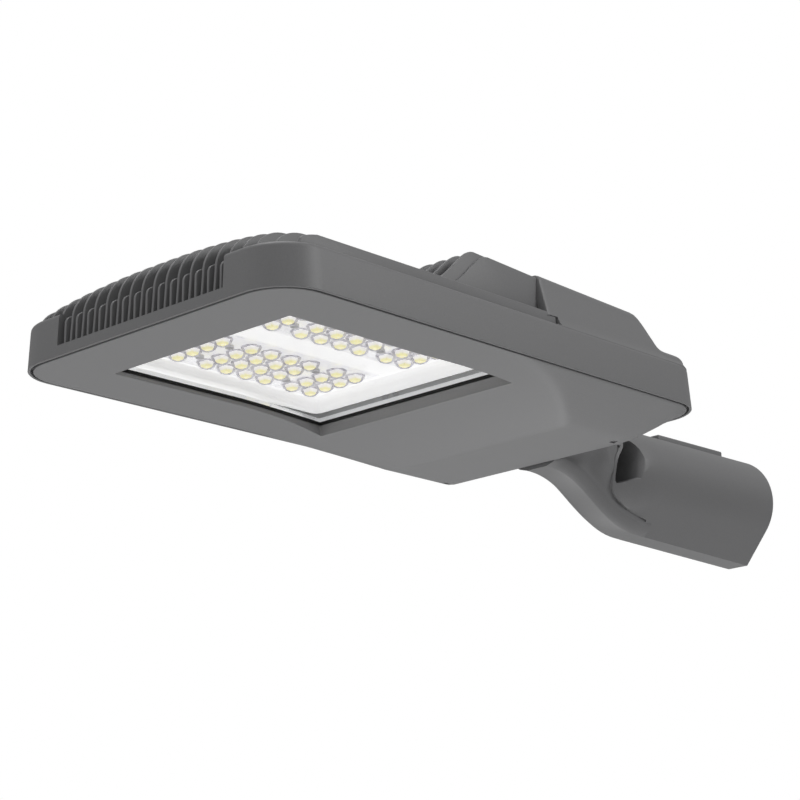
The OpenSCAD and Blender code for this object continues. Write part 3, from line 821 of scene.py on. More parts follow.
@dataclass
class Studio:
    """Camera, lamps, floor and background, in metres and radians."""

    camera_place: tuple[float, float, float] = (-1.4785, -1.0110, -0.4181)
    yaw: float = 0.7444
    pitch: float = 0.2819
    roll: float = -0.0268
    lens: float = 105.14
    floor_size: float = 16.0
    floor_place: tuple[float, float, float] = (-0.3, 0.0, -2.4)
    soft_light: float = 0.3
    target: tuple[float, float, float] = (-0.33, 0, 0.02)
    lamps: tuple[Lamp, ...] = (
        Lamp("lamp_below", (0.3, 0.5, -2.3), 1.8, 36.0),
        Lamp("lamp_side", (0.7, -2.3, 1.5), 1.1, 27.0),
        Lamp("lamp_front", (-3.0, 0.3, -0.3), 1.6, 10.0),
        Lamp("lamp_top", (-0.7, 0.3, 2.4), 1.4, 26.0),
    )

    def build_camera(self) -> None:
        """Places the camera where the photograph was taken."""
        level = math.cos(self.pitch)
        ahead = Vector((level * math.cos(self.yaw), level * math.sin(self.yaw), math.sin(self.pitch)))
        right = ahead.cross(Vector((0, 0, 1))).normalized()
        up = right.cross(ahead)
        r = right * math.cos(self.roll) + up * math.sin(self.roll)
        u = up * math.cos(self.roll) - right * math.sin(self.roll)
        data = bpy.data.cameras.new("photo_camera")
        data.lens = self.lens
        data.sensor_width = 36.0
        data.clip_start = 0.01
        data.clip_end = 50.0
        camera = bpy.data.objects.new("photo_camera", data)
        rows = [(r[i], u[i], -ahead[i], self.camera_place[i]) for i in range(3)]
        camera.matrix_world = Matrix((*rows, (0, 0, 0, 1)))
        bpy.context.scene.collection.objects.link(camera)
        bpy.context.scene.camera = camera

    def build_floor(self) -> None:
        """Lays a wide pale floor well below the light."""
        Bench.clear()
        bpy.ops.mesh.primitive_plane_add(size=self.floor_size, location=self.floor_place)
        floor = Bench.settle("studio_floor")
        desk = Desk(bpy.data.materials.new("floor_white"))
        seen = desk.node("ShaderNodeLightPath", out="Is Camera Ray")
        matt = desk.principled(desk.blend(desk.noise(1.5), "f0f0f0", "f6f6f6"), 0.9)
        glow = desk.node("ShaderNodeEmission", {"Color": WHITE, "Strength": 1.0})
        floor.data.materials.append(desk.finish(desk.over(seen * 0.85, matt, glow)))

    def build_world(self) -> None:
        """Sets the soft surrounding light and the white background."""
        world = bpy.data.worlds.new("studio_world")
        bpy.context.scene.world = world
        desk = Desk(world)
        kinds = ("Is Camera Ray", "Is Transmission Ray")
        rays = [desk.node("ShaderNodeLightPath", out=kind) for kind in kinds]
        seen = desk.node("ShaderNodeMath", dict(enumerate(rays)), operation="MAXIMUM")
        soft = desk.node("ShaderNodeBackground", {"Color": WHITE, "Strength": self.soft_light})
        white = desk.node("ShaderNodeBackground", {"Color": WHITE, "Strength": 1.0})
        desk.finish(desk.over(seen, soft, white), "ShaderNodeOutputWorld")

    def build(self) -> None:
        """Sets up the whole studio."""
        self.build_camera()
        self.build_floor()
        self.build_world()
        for lamp in self.lamps:
            lamp.add(Vector(self.target))
        bpy.context.scene.view_settings.view_transform = "Standard"


@dataclass
class Housing:
    """The finned die-cast housing with its driver hood and smooth rear cover."""

    light: Light
    length: float = 408.0
    half: float = 125.0
    corner: float = 33.0
    room_half: float = 112.0
    deck: float = 26.0
    sill: float = 7.0
    sink: float = 0.8
    slot_half: float = 75.0
    ramp: float = 38.0
    pitch: float = 10.86
    fin: float = 2.0
    fin_edge: float = 0.62
    fin_lead: float = 12.0
    fins: int = 11
    middle: float = 48.5
    drop: float = 12.0
    rail_y: float = 118.75
    rail: float = 2.5
    rail_edge: float = 0.8
    hood_x: float = 156.0
    hood_run: float = 39.0
    hood_top: float = 64.5
    hood_step: float = 3.5
    hood_floor: float = 56.0
    hood_y: float = 111.25
    cover_x: float = 242.0
    cover_line: tuple[Point, ...] = (
        (242, 63.5), (343, 59.3), (348, 53.8), (353.5, 45.6), (359, 38.2), (364, 35.7),
        (399.5, 35.2), (403.5, 33), (406, 28.2),
    )
    flare: float = 3.65
    pocket_place: tuple[float, float, float] = (240, 121.9, 31.2)
    pocket_turn: float = -0.12
    pocket_r: float = 3.6
    pocket_length: float = 12.0
    lug_x: float = 372.3
    lug_half: float = 37.2

    def crown(self, y: float) -> float:
        """Gives the height of a fin at a distance from the middle."""
        return self.middle - self.drop * (abs(y) / self.rail_y) ** 2.5

    def hood_line(self, z0: float, z1: float, lead: float = 0.0) -> list[Point]:
        """Lists the S curve at the hood's front from one height to another, moved forward by a lead."""
        parts = [i / CURVE_STEPS for i in range(CURVE_STEPS + 1)]
        return [(self.hood_x - lead + self.hood_run * t, z0 + (z1 - z0) * ease(t)) for t in parts]

    def side(self, name: str, profile: Sequence[Point], y: float, width: float) -> bpy.types.Object:
        """Extrudes a side profile across the head, with y its middle."""
        ring = [head(x, y - width / 2, z) for x, z in profile]
        return Bench.prism(name, ring, Vector((0, width * MM, 0)))

    def ring(self, z: float, inset: float) -> list[Vector]:
        """Gives the plan outline of the housing at a height, moved inwards."""
        return lift(plan(inset, self.length - inset, self.half - inset, self.corner - inset, 14), z)

    def build_wall(self) -> bpy.types.Object:
        """Models the outer wall, its rounded top edge, the deck and the slotted front."""
        steps = (
            (4.0, 1.8), (0.25, 1.8), (0.0, 1.55), (0.0, 0.4), (0.35, 0.05), (25.5, 1.62), (26.6, 1.85),
            (27.5, 2.35), (28.2, 3.15), (28.5, 4.1), (28.5, 6.0), (28.3, 6.3), (26.0, 6.3),
        )
        wall = Bench.skin("housing_wall", [self.ring(z, inset) for z, inset in steps])
        chamber = [(10, -1), (10, 7.2), (41, 22.5), (253.7, 22.5), (253.7, -1)]
        room = [(257.2, -1), (257.2, 21), (394, 21), (394, -1)]
        slot = [(-3, self.sill), (0, self.sill), (self.ramp, self.deck), (self.ramp, 40), (-3, 40)]
        for profile, half in ((chamber, self.room_half), (room, self.room_half), (slot, self.slot_half)):
            Bench.combine(wall, self.side("cut", profile, 0, 2 * half), Mix.CUT)
        Bench.smooth(wall, 24)
        return wall

    def start(self, y: float) -> float:
        """Gives how far the rounded corner moves a fin's front back."""
        out = max(0.0, abs(y) - (self.half - self.corner))
        return self.corner - math.sqrt(self.corner**2 - out**2)

    def build_fins(self) -> bpy.types.Object:
        """Models the tall cooling fins, from the front wall to the end of the hood."""
        blades: list[bpy.types.Object] = []
        bend_x, bend_z, bend_run = 30, 21.6, 26
        deck, end = self.deck - self.sink, self.cover_x + 1
        for k in range(self.fins):
            y = k * self.pitch
            top = self.crown(y)
            x0 = self.start(y)
            turns = [math.radians(a) for a in range(0, 91, 6)]
            bend = [
                (bend_x + x0 - bend_run * math.cos(a), bend_z + (top - bend_z) * math.sin(a))
                for a in turns
            ]
            profile = [
                (2.6 + x0, self.sill - self.sink), *bend,
                *self.hood_line(top, self.hood_top, self.fin_lead),
                (end, self.hood_top - self.hood_step), (end, deck), (self.ramp + 6, deck),
            ]
            blade = self.side(f"fin_{k}", profile, y, self.fin)
            Bench.soften(blade, self.fin_edge, angle=50)
            blades.append(blade)
            if k:
                blades.append(Bench.copy(blade, f"fin_{k}_far", Vector((0, -2 * y * MM, 0))))
        piece = Bench.join(blades, "cooling_fins")
        Bench.smooth(piece)
        return piece

    def build_short_fins(self) -> bpy.types.Object:
        """Models one short fin of the front wall and copies it between the tall ones."""
        profile = [
            (2.6, self.sill - self.sink), (3.1, 21.5), (3.6, 23.4), (4.6, 25.0), (6.6, 26.3), (16, 30.5),
            (52, 30.5), (62, self.deck - self.sink), (self.ramp + 6, self.deck - self.sink),
        ]
        first = self.side("fin_short", profile, -5.5 * self.pitch, self.fin)
        Bench.soften(first, self.fin_edge, angle=50)
        places = [*range(1, 12), -1, 12]
        row = [Bench.copy(first, f"fin_short_{k}", Vector((0, k * self.pitch * MM, 0))) for k in places]
        piece = Bench.join([first, *row], "front_fins")
        Bench.smooth(piece)
        return piece

    def build_hood(self) -> bpy.types.Object:
        """Models the hood over the driver with its side rails and the rails of the fin field."""
        deck = self.deck - self.sink
        end = self.cover_x + 1
        body = [(self.hood_x - 6, deck), (self.hood_x, self.deck)]
        body += [*self.hood_line(self.deck, self.hood_floor), (end, self.hood_floor), (end, deck)]
        hood = self.side("driver_hood", body, 0, 2 * self.hood_y - 2.4)
        Bench.soften(hood, 1.2)
        pieces = [hood]
        inner = [(self.hood_x - 4, deck), *self.hood_line(self.crown(self.hood_y), self.hood_top - 1)]
        inner += [(end, self.hood_top - self.hood_step), (end, deck)]
        rise = self.crown(self.rail_y)
        foot = 31
        outer = [(19, deck)]
        for i in range(9):
            outer.append((21 + 14 * ease(i / 8), foot + (rise - foot) * math.sin(math.pi / 2 * i / 8)))
        outer += [(self.cover_x + 9, rise), (self.cover_x + 9, deck)]
        for s in (-1, 1):
            for profile, y in ((inner, self.hood_y), (outer, self.rail_y)):
                rail = self.side("rail", profile, s * (y - self.rail / 2), self.rail)
                Bench.soften(rail, self.rail_edge)
                pieces.append(rail)
        piece = Bench.join(pieces, "driver_hood")
        Bench.smooth(piece)
        return piece

    def cover_ring(self, x: float, shrink: float) -> list[Vector]:
        """Gives the cross section of the rear cover.

        Args:
            x: distance behind the front of the rim.
            shrink: how far the section is moved inwards.

        Returns:
            The closed ring, in metres.
        """
        top = along(x, self.cover_line, 3.0) - shrink
        flare = self.flare * ease((x - 236) / 10)
        foot, ledge, ledge_half = 27.9, 36, 119.15
        lean_in, lean_rise = 7.4, 28.5
        corner_x, corner_y, corner_r, corner_grow = 375, 92, 27.3, 3.8

        def wide(z: float) -> float:
            """Gives half the width at a height: leaning side, flared foot and rounded rear corner."""
            u = max(0.0, min(1.0, (ledge - z) / 8))
            lean = ledge_half - lean_in * (z - ledge) / lean_rise if z > ledge else ledge_half
            corner = corner_r + corner_grow * (0.4 * u + 0.6 * u * u)
            rear = corner_y + math.sqrt(max(0.5, corner**2 - max(0.0, x - corner_x) ** 2))
            return lower(lean + flare * (0.3 * u + 0.7 * u * u), rear, 0.6) - shrink

        bend = min(5.0, max(0.4, (top - 26) * 0.45))
        half: list[Point] = [(wide(foot), 24.0)]
        for i in range(11):
            z = foot + (max(top - bend, 28.0) - foot) * (i / 10) ** 1.6
            half.append((wide(z), z))
        reach, base = half[-1]
        for i in range(1, 7):
            a = math.radians(15 * i)
            half.append((reach - bend * (1 - math.cos(a)), base + bend * math.sin(a)))
        return [head(x, y, z) for y, z in half] + [head(x, -y, z) for y, z in reversed(half)]

    def build_cover(self) -> bpy.types.Object:
        """Models the rear cover, flared into the outer wall, with the pocket at each ledge's end."""
        stations = [(242.0, 1.1), (242.3, 0.5), (243.0, 0.12), (244.2, 0.0)]
        stations += [(246 + 3 * i, 0.0) for i in range(34)]
        stations += [(347 + 1.25 * i, 0.0) for i in range(46)]
        stations += [(404.2, 0.0), (405.0, 0.0), (405.6, 0.0)]
        cover = Bench.skin("rear_cover", [self.cover_ring(x, shrink) for x, shrink in stations])
        x, y, z = self.pocket_place
        for s in (-1, 1):
            way = Vector((1, s * self.pocket_turn, 0))
            pocket = Bench.rod("cut", head(x, s * y, z), way, self.pocket_r, self.pocket_length, 24)
            Bench.combine(cover, pocket, Mix.CUT)
        Bench.smooth(cover, 28)
        return cover

    def build_lug(self) -> bpy.types.Object:
        """Models the lug that the arm is bolted to."""
        xs = [self.lug_x + 2 * i for i in range(16)]
        profile = [*((x, -LowerFrame.rear_depth(x)) for x in xs), (403.5, 3), (self.lug_x, 3)]
        lug = self.side("rear_lug", profile, 0, 2 * self.lug_half)
        Bench.soften(lug, 0.4, 2)
        Bench.smooth(lug)
        return lug

    def build(self) -> None:
        """Builds the housing and dresses it."""
        steps = (
            self.build_wall, self.build_fins, self.build_short_fins, self.build_hood, self.build_cover,
            self.build_lug,
        )
        for step in steps:
            piece = step()
            self.light.dress(piece, self.light.body_paint, "housing_paint")
            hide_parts("housing")


@dataclass
class LowerFrame:
    """The lower casting with the window and the driver bulge, the glass and its gasket."""

    light: Light
    rim: tuple[float, float, float, float] = (3.4, 404.6, 121.6, 29.6)
    border: float = 7.0
    face: float = 0.1
    bulge: float = 21.25
    window: tuple[float, float, float] = (50.2, 242.6, 79.4)
    seat: tuple[float, float, float] = (51.0, 240.9, 79.0)
    spread: float = 7.4
    spread_x: float = 160.0
    nick_y: float = 76.5

    @staticmethod
    def rear_depth(x: float) -> float:
        """Gives the depth of the rear profile below the rim."""
        rows = (
            (330, 21.25), (366, 21.25), (375, 17.0), (386, 7.0), (397, 1.5), (404.6, 0.2), (410, 0.2),
        )
        return along(x, rows, 2.5)

    def depth(self, x: float, y: float) -> float:
        """Gives the depth of the outer face below the rim.

        Args:
            x: distance behind the front of the rim.
            y: distance from the middle.

        Returns:
            The depth.
        """
        nose_x, nose_run, flank_rise, flank_run = 150, 155, 20.95, 43.6
        t = max(0.0, min(1.0, (x - nose_x) / nose_run))
        nose = self.face + (self.bulge - self.face) * t**3
        flank = 0.3 + max(0.0, self.rim[2] - abs(y)) * flank_rise / flank_run
        return max(0.05, lower(lower(nose, self.rear_depth(x), 2.0), flank, 2.4))

    def flared(self, ring: Sequence[Point]) -> list[Point]:
        """Widens a ring towards the rear, as the window does."""
        share, run = self.spread / self.window[2], self.window[1] - self.spread_x
        return [(x, y * (1 + share * max(0.0, (x - self.spread_x) / run) ** 1.3)) for x, y in ring]

    def build_casting(self) -> bpy.types.Object:
        """Models the casting as rings that run from its edge to the window."""
        size = {"steps": 8, "long": 60, "short": 36}
        front, rear, side, corner = self.rim

        def outline(d: float) -> list[Point]:
            """Gives the outer edge, moved inwards."""
            return plan(front + d, rear - d, side - d, corner - d, **size)

        def opening(grow: float) -> list[Point]:
            """Gives the window's edge, moved outwards."""
            x0, x1, half = self.window
            return self.flared(plan(x0 - grow, x1 + grow, half + grow, 0.9, **size))

        def under(row: Sequence[Point], up: float = 0.0) -> list[Vector]:
            """Lays points on the outer face, or a little above it."""
            return [head(x, y, -self.depth(x, y) + up) for x, y in row]

        rings = [lift(outline(d), z) for d, z in ((0.1, 2.9), (0.1, -0.05), (0.3, -0.3))]
        for d in (0.9, 1.6, 2.3, 3.0, 4.0, 5.5, self.border):
            rise = 0.3 + 0.62 * (d - 0.3)
            rings.append([head(x, y, -min(self.depth(x, y), rise)) for x, y in outline(d)])
        near, far = outline(self.border), opening(0.9)
        parts = 52
        for i in range(1, parts + 1):
            rings.append(under([between(a, b, i / parts) for a, b in zip(near, far)]))
        rings.append(under(opening(0.0), 0.25))
        x0, x1, half = self.seat
        for z in (1.0, 2.7):
            rings.append(lift(self.flared(plan(x0, x1, half, 0.8, **size)), z))
        rings.append(lift(plan(x0 - 6, x1 + 4, half + 11, 5.0, **size), 2.7))
        rings.append(lift(plan(x0 - 16, x1 + 9, half + 16, 14.0, **size), 3.95))
        casting = Bench.skin("window_frame", rings, loop=True)
        saddle_room = ((372, -37.5, -40), (420, 37.5, 20))
        nicks = [((357.5, y - 2, -22.5), (362.5, y + 2, -19.6)) for y in (-self.nick_y, self.nick_y)]
        for low, high in (saddle_room, *nicks):
            Bench.combine(casting, Bench.block("cut", head(*low), head(*high)), Mix.CUT)
        Bench.smooth(casting, 22)
        return casting

    def seat_ring(self, grow: float, z: float, corner: float) -> list[Vector]:
        """Gives the seat's tapered outline at a height, moved outwards."""
        x0, x1, half = self.seat
        ring = plan(x0 - grow, x1 + grow, half + grow, corner, steps=6, long=40, short=12)
        return lift(self.flared(ring), z)

    def build_gasket(self) -> bpy.types.Object:
        """Models the rubber ring between frame and glass, with a bead along its inner edge."""
        steps = (
            (0.7, 2.8), (0.3, 2.9), (0.2, 3.4), (0.5, 3.6), (0.5, 3.8), (0.2, 4.0), (0.3, 4.7),
            (0.8, 4.95), (-3.6, 4.95), (-3.6, 2.8),
        )
        rings = [self.seat_ring(-d, z, max(0.4, 1.6 - d)) for d, z in steps]
        gasket = Bench.skin("glass_gasket_ring", rings, loop=True)
        Bench.smooth(gasket, 35)
        return gasket

    def build_pane(self) -> bpy.types.Object:
        """Models the glass with its bevelled edges."""
        steps = ((2.6, 5.05), (2.9, 5.4), (2.9, 8.6), (2.6, 8.95))
        return Bench.skin("window_pane", [self.seat_ring(grow, z, 2.0) for grow, z in steps])

    def build_edge(self) -> bpy.types.Object:
        """Models the pale ground edge round the glass."""
        steps = ((3.0, 5.05), (3.0, 9.3), (4.0, 9.3), (4.0, 5.05))
        rings = [self.seat_ring(grow, z, 2.0) for grow, z in steps]
        return Bench.skin("glass_ground_edge", rings, loop=True)

    def build(self) -> None:
        """Builds the casting, its gasket and the glass and dresses them."""
        # The ground edge's pale colour is its own; its glow of 0.4 is painted light.
        ground = Moulding("ground_edge_painted_glow", "e6e7e8", "dcdddf", 0.4, 0.4)
        for step, finish, slot, node in (
            (self.build_casting, self.light.frame_paint, "frame_paint", "lower_frame"),
            (self.build_gasket, Rubber("gasket_rubber"), "glass_rubber", "glass_gasket"),
            (self.build_pane, ClearPane("window_clear"), "clear_glass", "window_glass"),
            (self.build_edge, ground, "clear_glass", "window_glass"),
        ):
            piece = step()
            self.light.dress(piece, finish, slot)
            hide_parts(node)


@dataclass
class SpigotArm:
    """The swan-neck arm with the socket that slips over the pole end."""

    light: Light
    bore: float = 30.4
    socket: float = 118.0
    tube: float = 36.5
    tube_front: float = 35.0
    keel: float = 47.0
    keel_half: float = 8.65
    rise: float = 3.4
    nose: float = -201.0
    blend: float = -141.0
    stop_hole: tuple[float, float, float] = (-125, 18, 9)
    cable_room: tuple[float, float, float] = (-154, 28.9, 30)
    pad_line: tuple[Point, ...] = ((-112, 0), (-112, 36.9), (-31, 37.7), (-31, 0))
    pad_half: float = 13.0
    screw_xs: tuple[float, float] = (-94, -52)
    screw_r: float = 4.0
    saddle_half: float = 36.0
    neck_x: float = -206.0

    def tube_ring(self, x: float) -> list[Vector]:
        """Gives the cross section of the tube, a circle whose flanks run down to the keel.

        Args:
            x: distance from the mouth of the socket.

        Returns:
            The closed ring, in metres.
        """
        front = self.tube_front + 0.35
        if x >= self.blend:
            share = (x - self.blend) / -self.blend
            radius = front + (self.tube - self.tube_front - 0.4) * share
            deep = self.keel - self.rise * (1 - share)
            strip = self.keel_half
        else:
            t = (self.blend - x) / (self.blend - self.nose)
            radius = front * math.sqrt(max(0.01, 1 - t * t))
            deep = max(radius, (self.keel - self.rise) * (1 - 0.75 * t))
            strip = self.keel_half * (1 - t)
        reach = math.acos(min(1.0, radius / math.hypot(strip, deep)))
        low = math.atan2(-deep, strip) + reach
        turns = [low + (math.pi - low - low) * i / 60 for i in range(61)]
        ring = [(radius * math.cos(a), radius * math.sin(a)) for a in turns]
        left, right = (-strip, -deep), (strip, -deep)
        down = [between(ring[-1], left, i, 5) for i in range(1, 5)]
        up = [between(right, ring[0], i, 5) for i in range(1, 5)]
        base = [(-strip + 2 * strip * i / 4, -deep) for i in range(5)]
        return [arm(x, y, z) for y, z in (*ring, *down, *base, *up)]

    def neck_line(self, t: float) -> Point:
        """Gives a point of the underside of the swan neck."""
        a, b = (-241.0, -8.95), (-195.0, -8.75)
        c, d = (-186.0, -43.4), (-141.0, -43.6)
        if t > 1:
            return d[0] * (2 - t), d[1] * (2 - t) - self.keel * (t - 1)
        u = 1 - t
        return tuple(
            p * u**3 + 3 * q * t * u * u + 3 * r * t * t * u + w * t**3 for p, q, r, w in zip(a, b, c, d)
        )

    def neck_ring(self, t: float) -> list[Vector]:
        """Gives a cross section of the neck: keel strip, chamfer and flared flank.

        Args:
            t: place along the neck, 0 under the head and 1 at the tube.

        Returns:
            The closed ring, in metres.
        """
        x, low = self.neck_line(t)
        rows = ((-245, -7.75), (-236, -3.5), (-225, 6.5), (-214, 12.0), (-206.4, 13.5))
        top = along(x, rows) + 1.2
        wide = self.saddle_half - 11.2 * ease((x - self.neck_x) / 22) - 8 * ease((x + 179) / 7)
        near = ease((x - self.neck_x) / 20)
        k = min(1.0, (top - low) / 14)
        waist, z1 = 16.1, low + 8 * k
        half = [
            (self.keel_half - 0.6, low), (self.keel_half + 0.4, low + 0.25 * k), (13, low + 4 * k),
            (15.4, low + 6.6 * k), (waist, z1),
        ]
        for i in range(1, 13):
            s = i / 12
            reach = s + (ease(min(1.0, s * 1.7)) - s) * near
            half.append((waist + (wide - waist) * reach ** (2.2 - 1.2 * near), z1 + (top - z1) * s))
        return [arm(x, y, z) for y, z in half] + [arm(x, -y, z) for y, z in reversed(half)]

    def side(self, name: str, profile: Sequence[Point], half: float) -> bpy.types.Object:
        """Extrudes a side profile of the arm across it, by half on either side of the middle."""
        return Bench.prism(name, [arm(x, -half, z) for x, z in profile], Vector((0, 2 * half * MM, 0)))

    def arch(self, y: float, grow: float) -> list[Vector]:
        """Gives the outline of a side opening: a leaning front edge, a round rear one and a sill.

        Args:
            y: distance from the middle of the arm.
            grow: how much wider it is than at its throat.

        Returns:
            The closed ring, in metres.
        """
        edge = (
            (-163, -8), (-162.2, -1.6), (-161, 6.1), (-161.1, 12.4), (-162.4, 16.5), (-165, 19.2),
            (-168.5, 19.8), (-171.6, 17.6), (-174, 13.3), (-176.8, 9.6), (-179, 6.4), (-180.6, 3.2),
            (-181.5, 0.1), (-182, -4.2), (-182, -8.5), (-181.2, -12), (-179.7, -13.8), (-176.5, -13.4),
            (-172.1, -11.9), (-167.5, -9.9),
        )
        ring = []
        for a, b in zip(edge, (*edge[1:], edge[0])):
            for k in range(3):
                x, z = between(a, b, k, 3)
                share = 0.07 * grow * ease((x + 178) / 12)
                ring.append(arm(x + (x + 174) * share, y, z + (z - 1) * share))
        return ring

    def build_casting(self) -> bpy.types.Object:
        """Models tube, neck and pad, then cuts the socket, the rooms and the side openings."""
        dome = self.blend - self.nose
        stations = [self.nose + dome * (1 - math.cos(math.radians(a))) for a in range(6, 90, 6)]
        stations += [self.blend - self.blend * i / 24 for i in range(24)] + [-0.9]
        casting = Bench.skin("arm_casting", [self.tube_ring(x) for x in stations])
        front = [
            (self.nose - 6, 14.5), (-175, 14.5), (-177.6, 11.7), (-179.8, 8.7), (-182, 5), (-183.3, 0.8),
            (-183.8, -4), (-183.6, -8.6), (-182.6, -12.8), (-180.8, -16.4), (-178, -19.6),
            (-173.6, -22.9), (-167, -26.2), (-159.2, -29.2), (-149, -31.7), (-138.9, -33.4),
            (self.blend + 10, -94), (self.nose - 6, -94),
        ]
        pad = self.side("pad", self.pad_line, self.pad_half)
        Bench.soften(pad, 1.2)
        along_x, along_z = Vector((1, 0, 0)), Vector((0, 0, 1))
        Bench.combine(casting, self.side("cut", front, 60), Mix.CUT)
        Bench.combine(casting, Bench.skin("neck", [self.neck_ring(i / 28) for i in range(31)]), Mix.ADD)
        Bench.combine(casting, pad, Mix.ADD)
        socket = (-self.socket, self.bore, self.socket + 2)
        for x, radius, length in (socket, self.stop_hole, self.cable_room):
            Bench.combine(casting, Bench.rod("cut", arm(x, 0, 0), along_x, radius, length, 72), Mix.CUT)
        flare = ((5, 0.0), (28.5, 0.0), (30.5, 0.7), (32.0, 1.8), (33.3, 3.4), (34.4, 5.6), (40, 16.0))
        for s in (-1, 1):
            pocket = Bench.skin("cut", [self.arch(s * y, grow) for y, grow in flare])
            Bench.combine(casting, pocket, Mix.CUT)
        for x in self.screw_xs:
            hole = Bench.rod("cut", arm(x, 0, 28), along_z, self.screw_r, 20, 32)
            Bench.combine(casting, hole, Mix.CUT)
        Bench.smooth(casting)
        return casting

    def build(self) -> None:
        """Builds the casting and dresses it."""
        piece = self.build_casting()
        self.light.dress(piece, self.light.arm_paint, "arm_paint")
        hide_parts("spigot_arm")


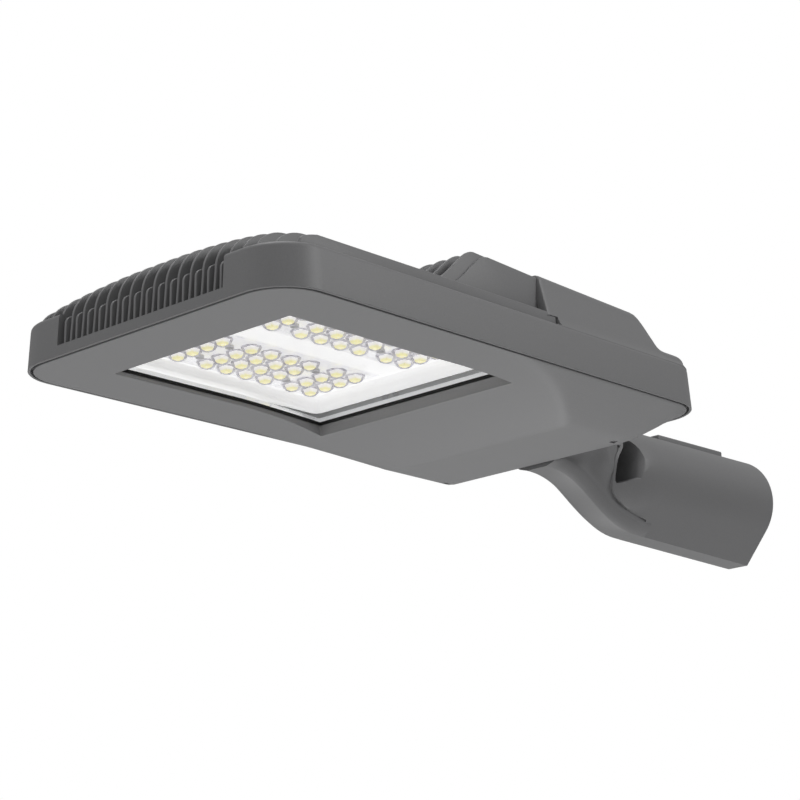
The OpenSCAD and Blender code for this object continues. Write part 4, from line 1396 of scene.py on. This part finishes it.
@dataclass
class Optics:
    """The two lens plates with their bubble lenses and the light sources that show in them."""

    light: Light
    plate_z: float = 18.4
    middle_x: float = 142.0
    off_y: float = 43.7
    columns: tuple[float, ...] = (8.75, 26.25, 51.25, 68.75)
    rows: tuple[float, ...] = (7.05, 21.15)
    plate: tuple[float, float] = (161.5, 66.3)
    plate_corner: float = 3.5
    dome: float = 6.45
    dome_foot: float = 0.4
    height: float = 5.3
    source_half: float = 3.7
    source_height: float = 3.9
    source_taper: float = 0.72

    def places(self) -> list[Point]:
        """Lists the middles of one plate's lenses, from the plate's own middle."""
        xs, ys = (sorted(v * s for v in line for s in (-1, 1)) for line in (self.columns, self.rows))
        return [(x, y) for x in xs for y in ys]

    def array(self, first: bpy.types.Object, name: str, angle: float) -> bpy.types.Object:
        """Copies a piece made at the near plate's first lens to all other lenses of both plates.

        Args:
            first: the piece at the first lens.
            name: name of the result.
            angle: edges sharper than this, in degrees, stay sharp.

        Returns:
            All the copies as one piece.
        """
        spots = [Vector((x, y + s * self.off_y, 0)) for s in (-1, 1) for x, y in self.places()]
        shifts = [(spot - spots[0]) * MM for spot in spots[1:]]
        copies = [Bench.copy(first, f"{name}_{i}", shift) for i, shift in enumerate(shifts)]
        piece = Bench.join([first, *copies], name)
        Bench.smooth(piece, angle)
        return piece

    def circle(self, radius: float, z: float, sides: int = 24) -> list[Vector]:
        """Gives a ring round the first lens, at a height over the plates' face."""
        x0, y0 = self.places()[0]
        x, y, height = self.middle_x + x0, y0 - self.off_y, self.plate_z + z
        turns = [2 * math.pi * i / sides for i in range(sides)]
        return [head(x + radius * math.cos(a), y + radius * math.sin(a), height) for a in turns]

    def build_domes(self) -> bpy.types.Object:
        """Models one bubble lens and copies it."""
        rings = [self.circle(self.dome, 0.1), self.circle(self.dome, -self.dome_foot)]
        rise = self.height - self.dome_foot
        for a in range(12, 85, 12):
            c, t = math.cos(math.radians(a)), math.sin(math.radians(a))
            rings.append(self.circle(self.dome * c, -self.dome_foot - rise * t))
        rings.append(self.circle(0.35, -self.height))
        return self.array(Bench.skin("lens_dome", rings), "lens_domes", 50)

    def build_feet(self) -> bpy.types.Object:
        """Models the raised foot ring of one lens and copies it."""
        steps = ((6.9, 0.05), (6.9, -0.3), (6.8, -0.45), (6.5, -0.45), (6.2, -0.2), (3.0, -0.15))
        rings = [self.circle(radius, z) for radius, z in steps]
        return self.array(Bench.skin("lens_foot", rings), "lens_feet", 40)

    def build_sources(self) -> bpy.types.Object:
        """Models one light source as it shows through its lens, and copies it."""
        x0, y0 = self.places()[0]
        x, y, half = self.middle_x + x0, y0 - self.off_y, self.source_half
        low = head(x - half, y - half, self.plate_z - self.source_height)
        source = Bench.block("light_source", low, head(x + half, y + half, self.plate_z + 0.1))
        Bench.faces(source, lambda centre, normal: normal.z < -0.9)
        taper = self.source_taper
        bpy.ops.transform.resize(value=(taper, taper, 1.0), center_override=head(x, y, 0))
        Bench.clear()
        Bench.soften(source, 0.8, angle=30)
        return self.array(source, "light_sources", 50)

    def build_plate(self, side: int) -> bpy.types.Object:
        """Models one lens plate with rounded corners and a raised rim.

        Args:
            side: -1 for the near plate and 1 for the far one.

        Returns:
            The plate.
        """
        length, width = self.plate
        x0, x1 = self.middle_x - length / 2, self.middle_x + length / 2
        shift = Vector((0, side * self.off_y * MM, 0))
        steps = (
            (0.0, 20.3), (0.0, 18.6), (0.2, 18.35), (1.6, 18.35), (1.9, 18.6), (3.0, 18.6), (3.3, 18.4),
        )
        rings = []
        for d, z in steps:
            ring = plan(x0 + d, x1 - d, width / 2 - d, max(0.6, self.plate_corner - d), 6)
            rings.append([point + shift for point in lift(ring, z)])
        plate = Bench.skin("lens_plate", rings)
        Bench.smooth(plate)
        return plate

    def build(self) -> None:
        """Builds the optics and dresses them."""
        clear = LensPlate("lens_plate_clear_painted_glow")
        plates = [self.build_plate(-1), self.build_plate(1)]
        for piece, node in zip(plates, ("lens_plate_left", "lens_plate_right")):
            piece.name = piece.data.name = node + "_shaped"
            self.light.dress(piece, clear, "lens_clear")
            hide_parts(node)
        self.light.dress(self.build_domes(), Bubble("lens_bubble_painted_rim_shade"), "lens_clear")
        self.light.dress(self.build_feet(), Facets("lens_foot_lilac_painted_patches"), "lens_clear")
        sources = self.build_sources()
        self.light.dress(sources, Phosphor("source_painted_glow"), "chip_yellow")
        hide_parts("led_chips")


def coat_nodes(light: Light) -> None:
    """Gives every CAD node that stays in view its finish."""
    steel = Steel("screw_steel", "c8c8ca", "b0b0b4")
    black = Moulding("clamp_black", "1c1c1c", "141414", 0.5)
    pad = Moulding("pad_grey", "9aa0a8", "8c929a", 0.8)
    board = Moulding("board_white", "eeeeea", "e4e4e0", 0.4)
    finishes = {
        "rim_gasket": light.seal,
        "glass_clips": Steel("clip_steel", "c4c4c8", "a8a8ac"),
        # The reflector's white is its own; its glow of 0.62 is painted light.
        "reflector": Moulding("reflector_white", "f6f6f6", "f0f0f1", 0.38, 0.62),
        "thermal_pad_left": pad,
        "thermal_pad_right": pad,
        "led_board_left": board,
        "led_board_right": board,
        "optic_screws": steel,
        "gear_tray": Steel("tray_zinc", "b8babe", "a0a2a6", 0.42),
        "tray_screws": steel,
        "driver": Moulding("driver_black", "2a2a2c", "222224", 0.55),
        "surge_protector": Moulding("surge_red", "a83226", "982c22", 0.4),
        "terminal_block": Moulding("terminal_white", "dcdcd4", "d2d2ca", 0.5),
        "cable_clamp": black,
        "wire_grommet": light.seal,
        "breather_plug": black,
        "frame_screws": steel,
        "arm_bolts": steel,
        "arm_washers": steel,
        "set_screws": Steel("set_screw_steel", "8a8a8e", "74747a", 0.4),
    }
    for node, finish in finishes.items():
        light.coat(node, finish)


def main() -> None:
    """Builds the studio and every sub-assembly and coats the CAD nodes, logging each new piece's face
    count.
    """
    logging.basicConfig(level=logging.INFO, format="%(name)s: %(message)s")
    light = Light()
    Studio().build()
    Housing(light).build()
    LowerFrame(light).build()
    SpigotArm(light).build()
    Optics(light).build()
    coat_nodes(light)


if __name__ == "__main__":
    main()
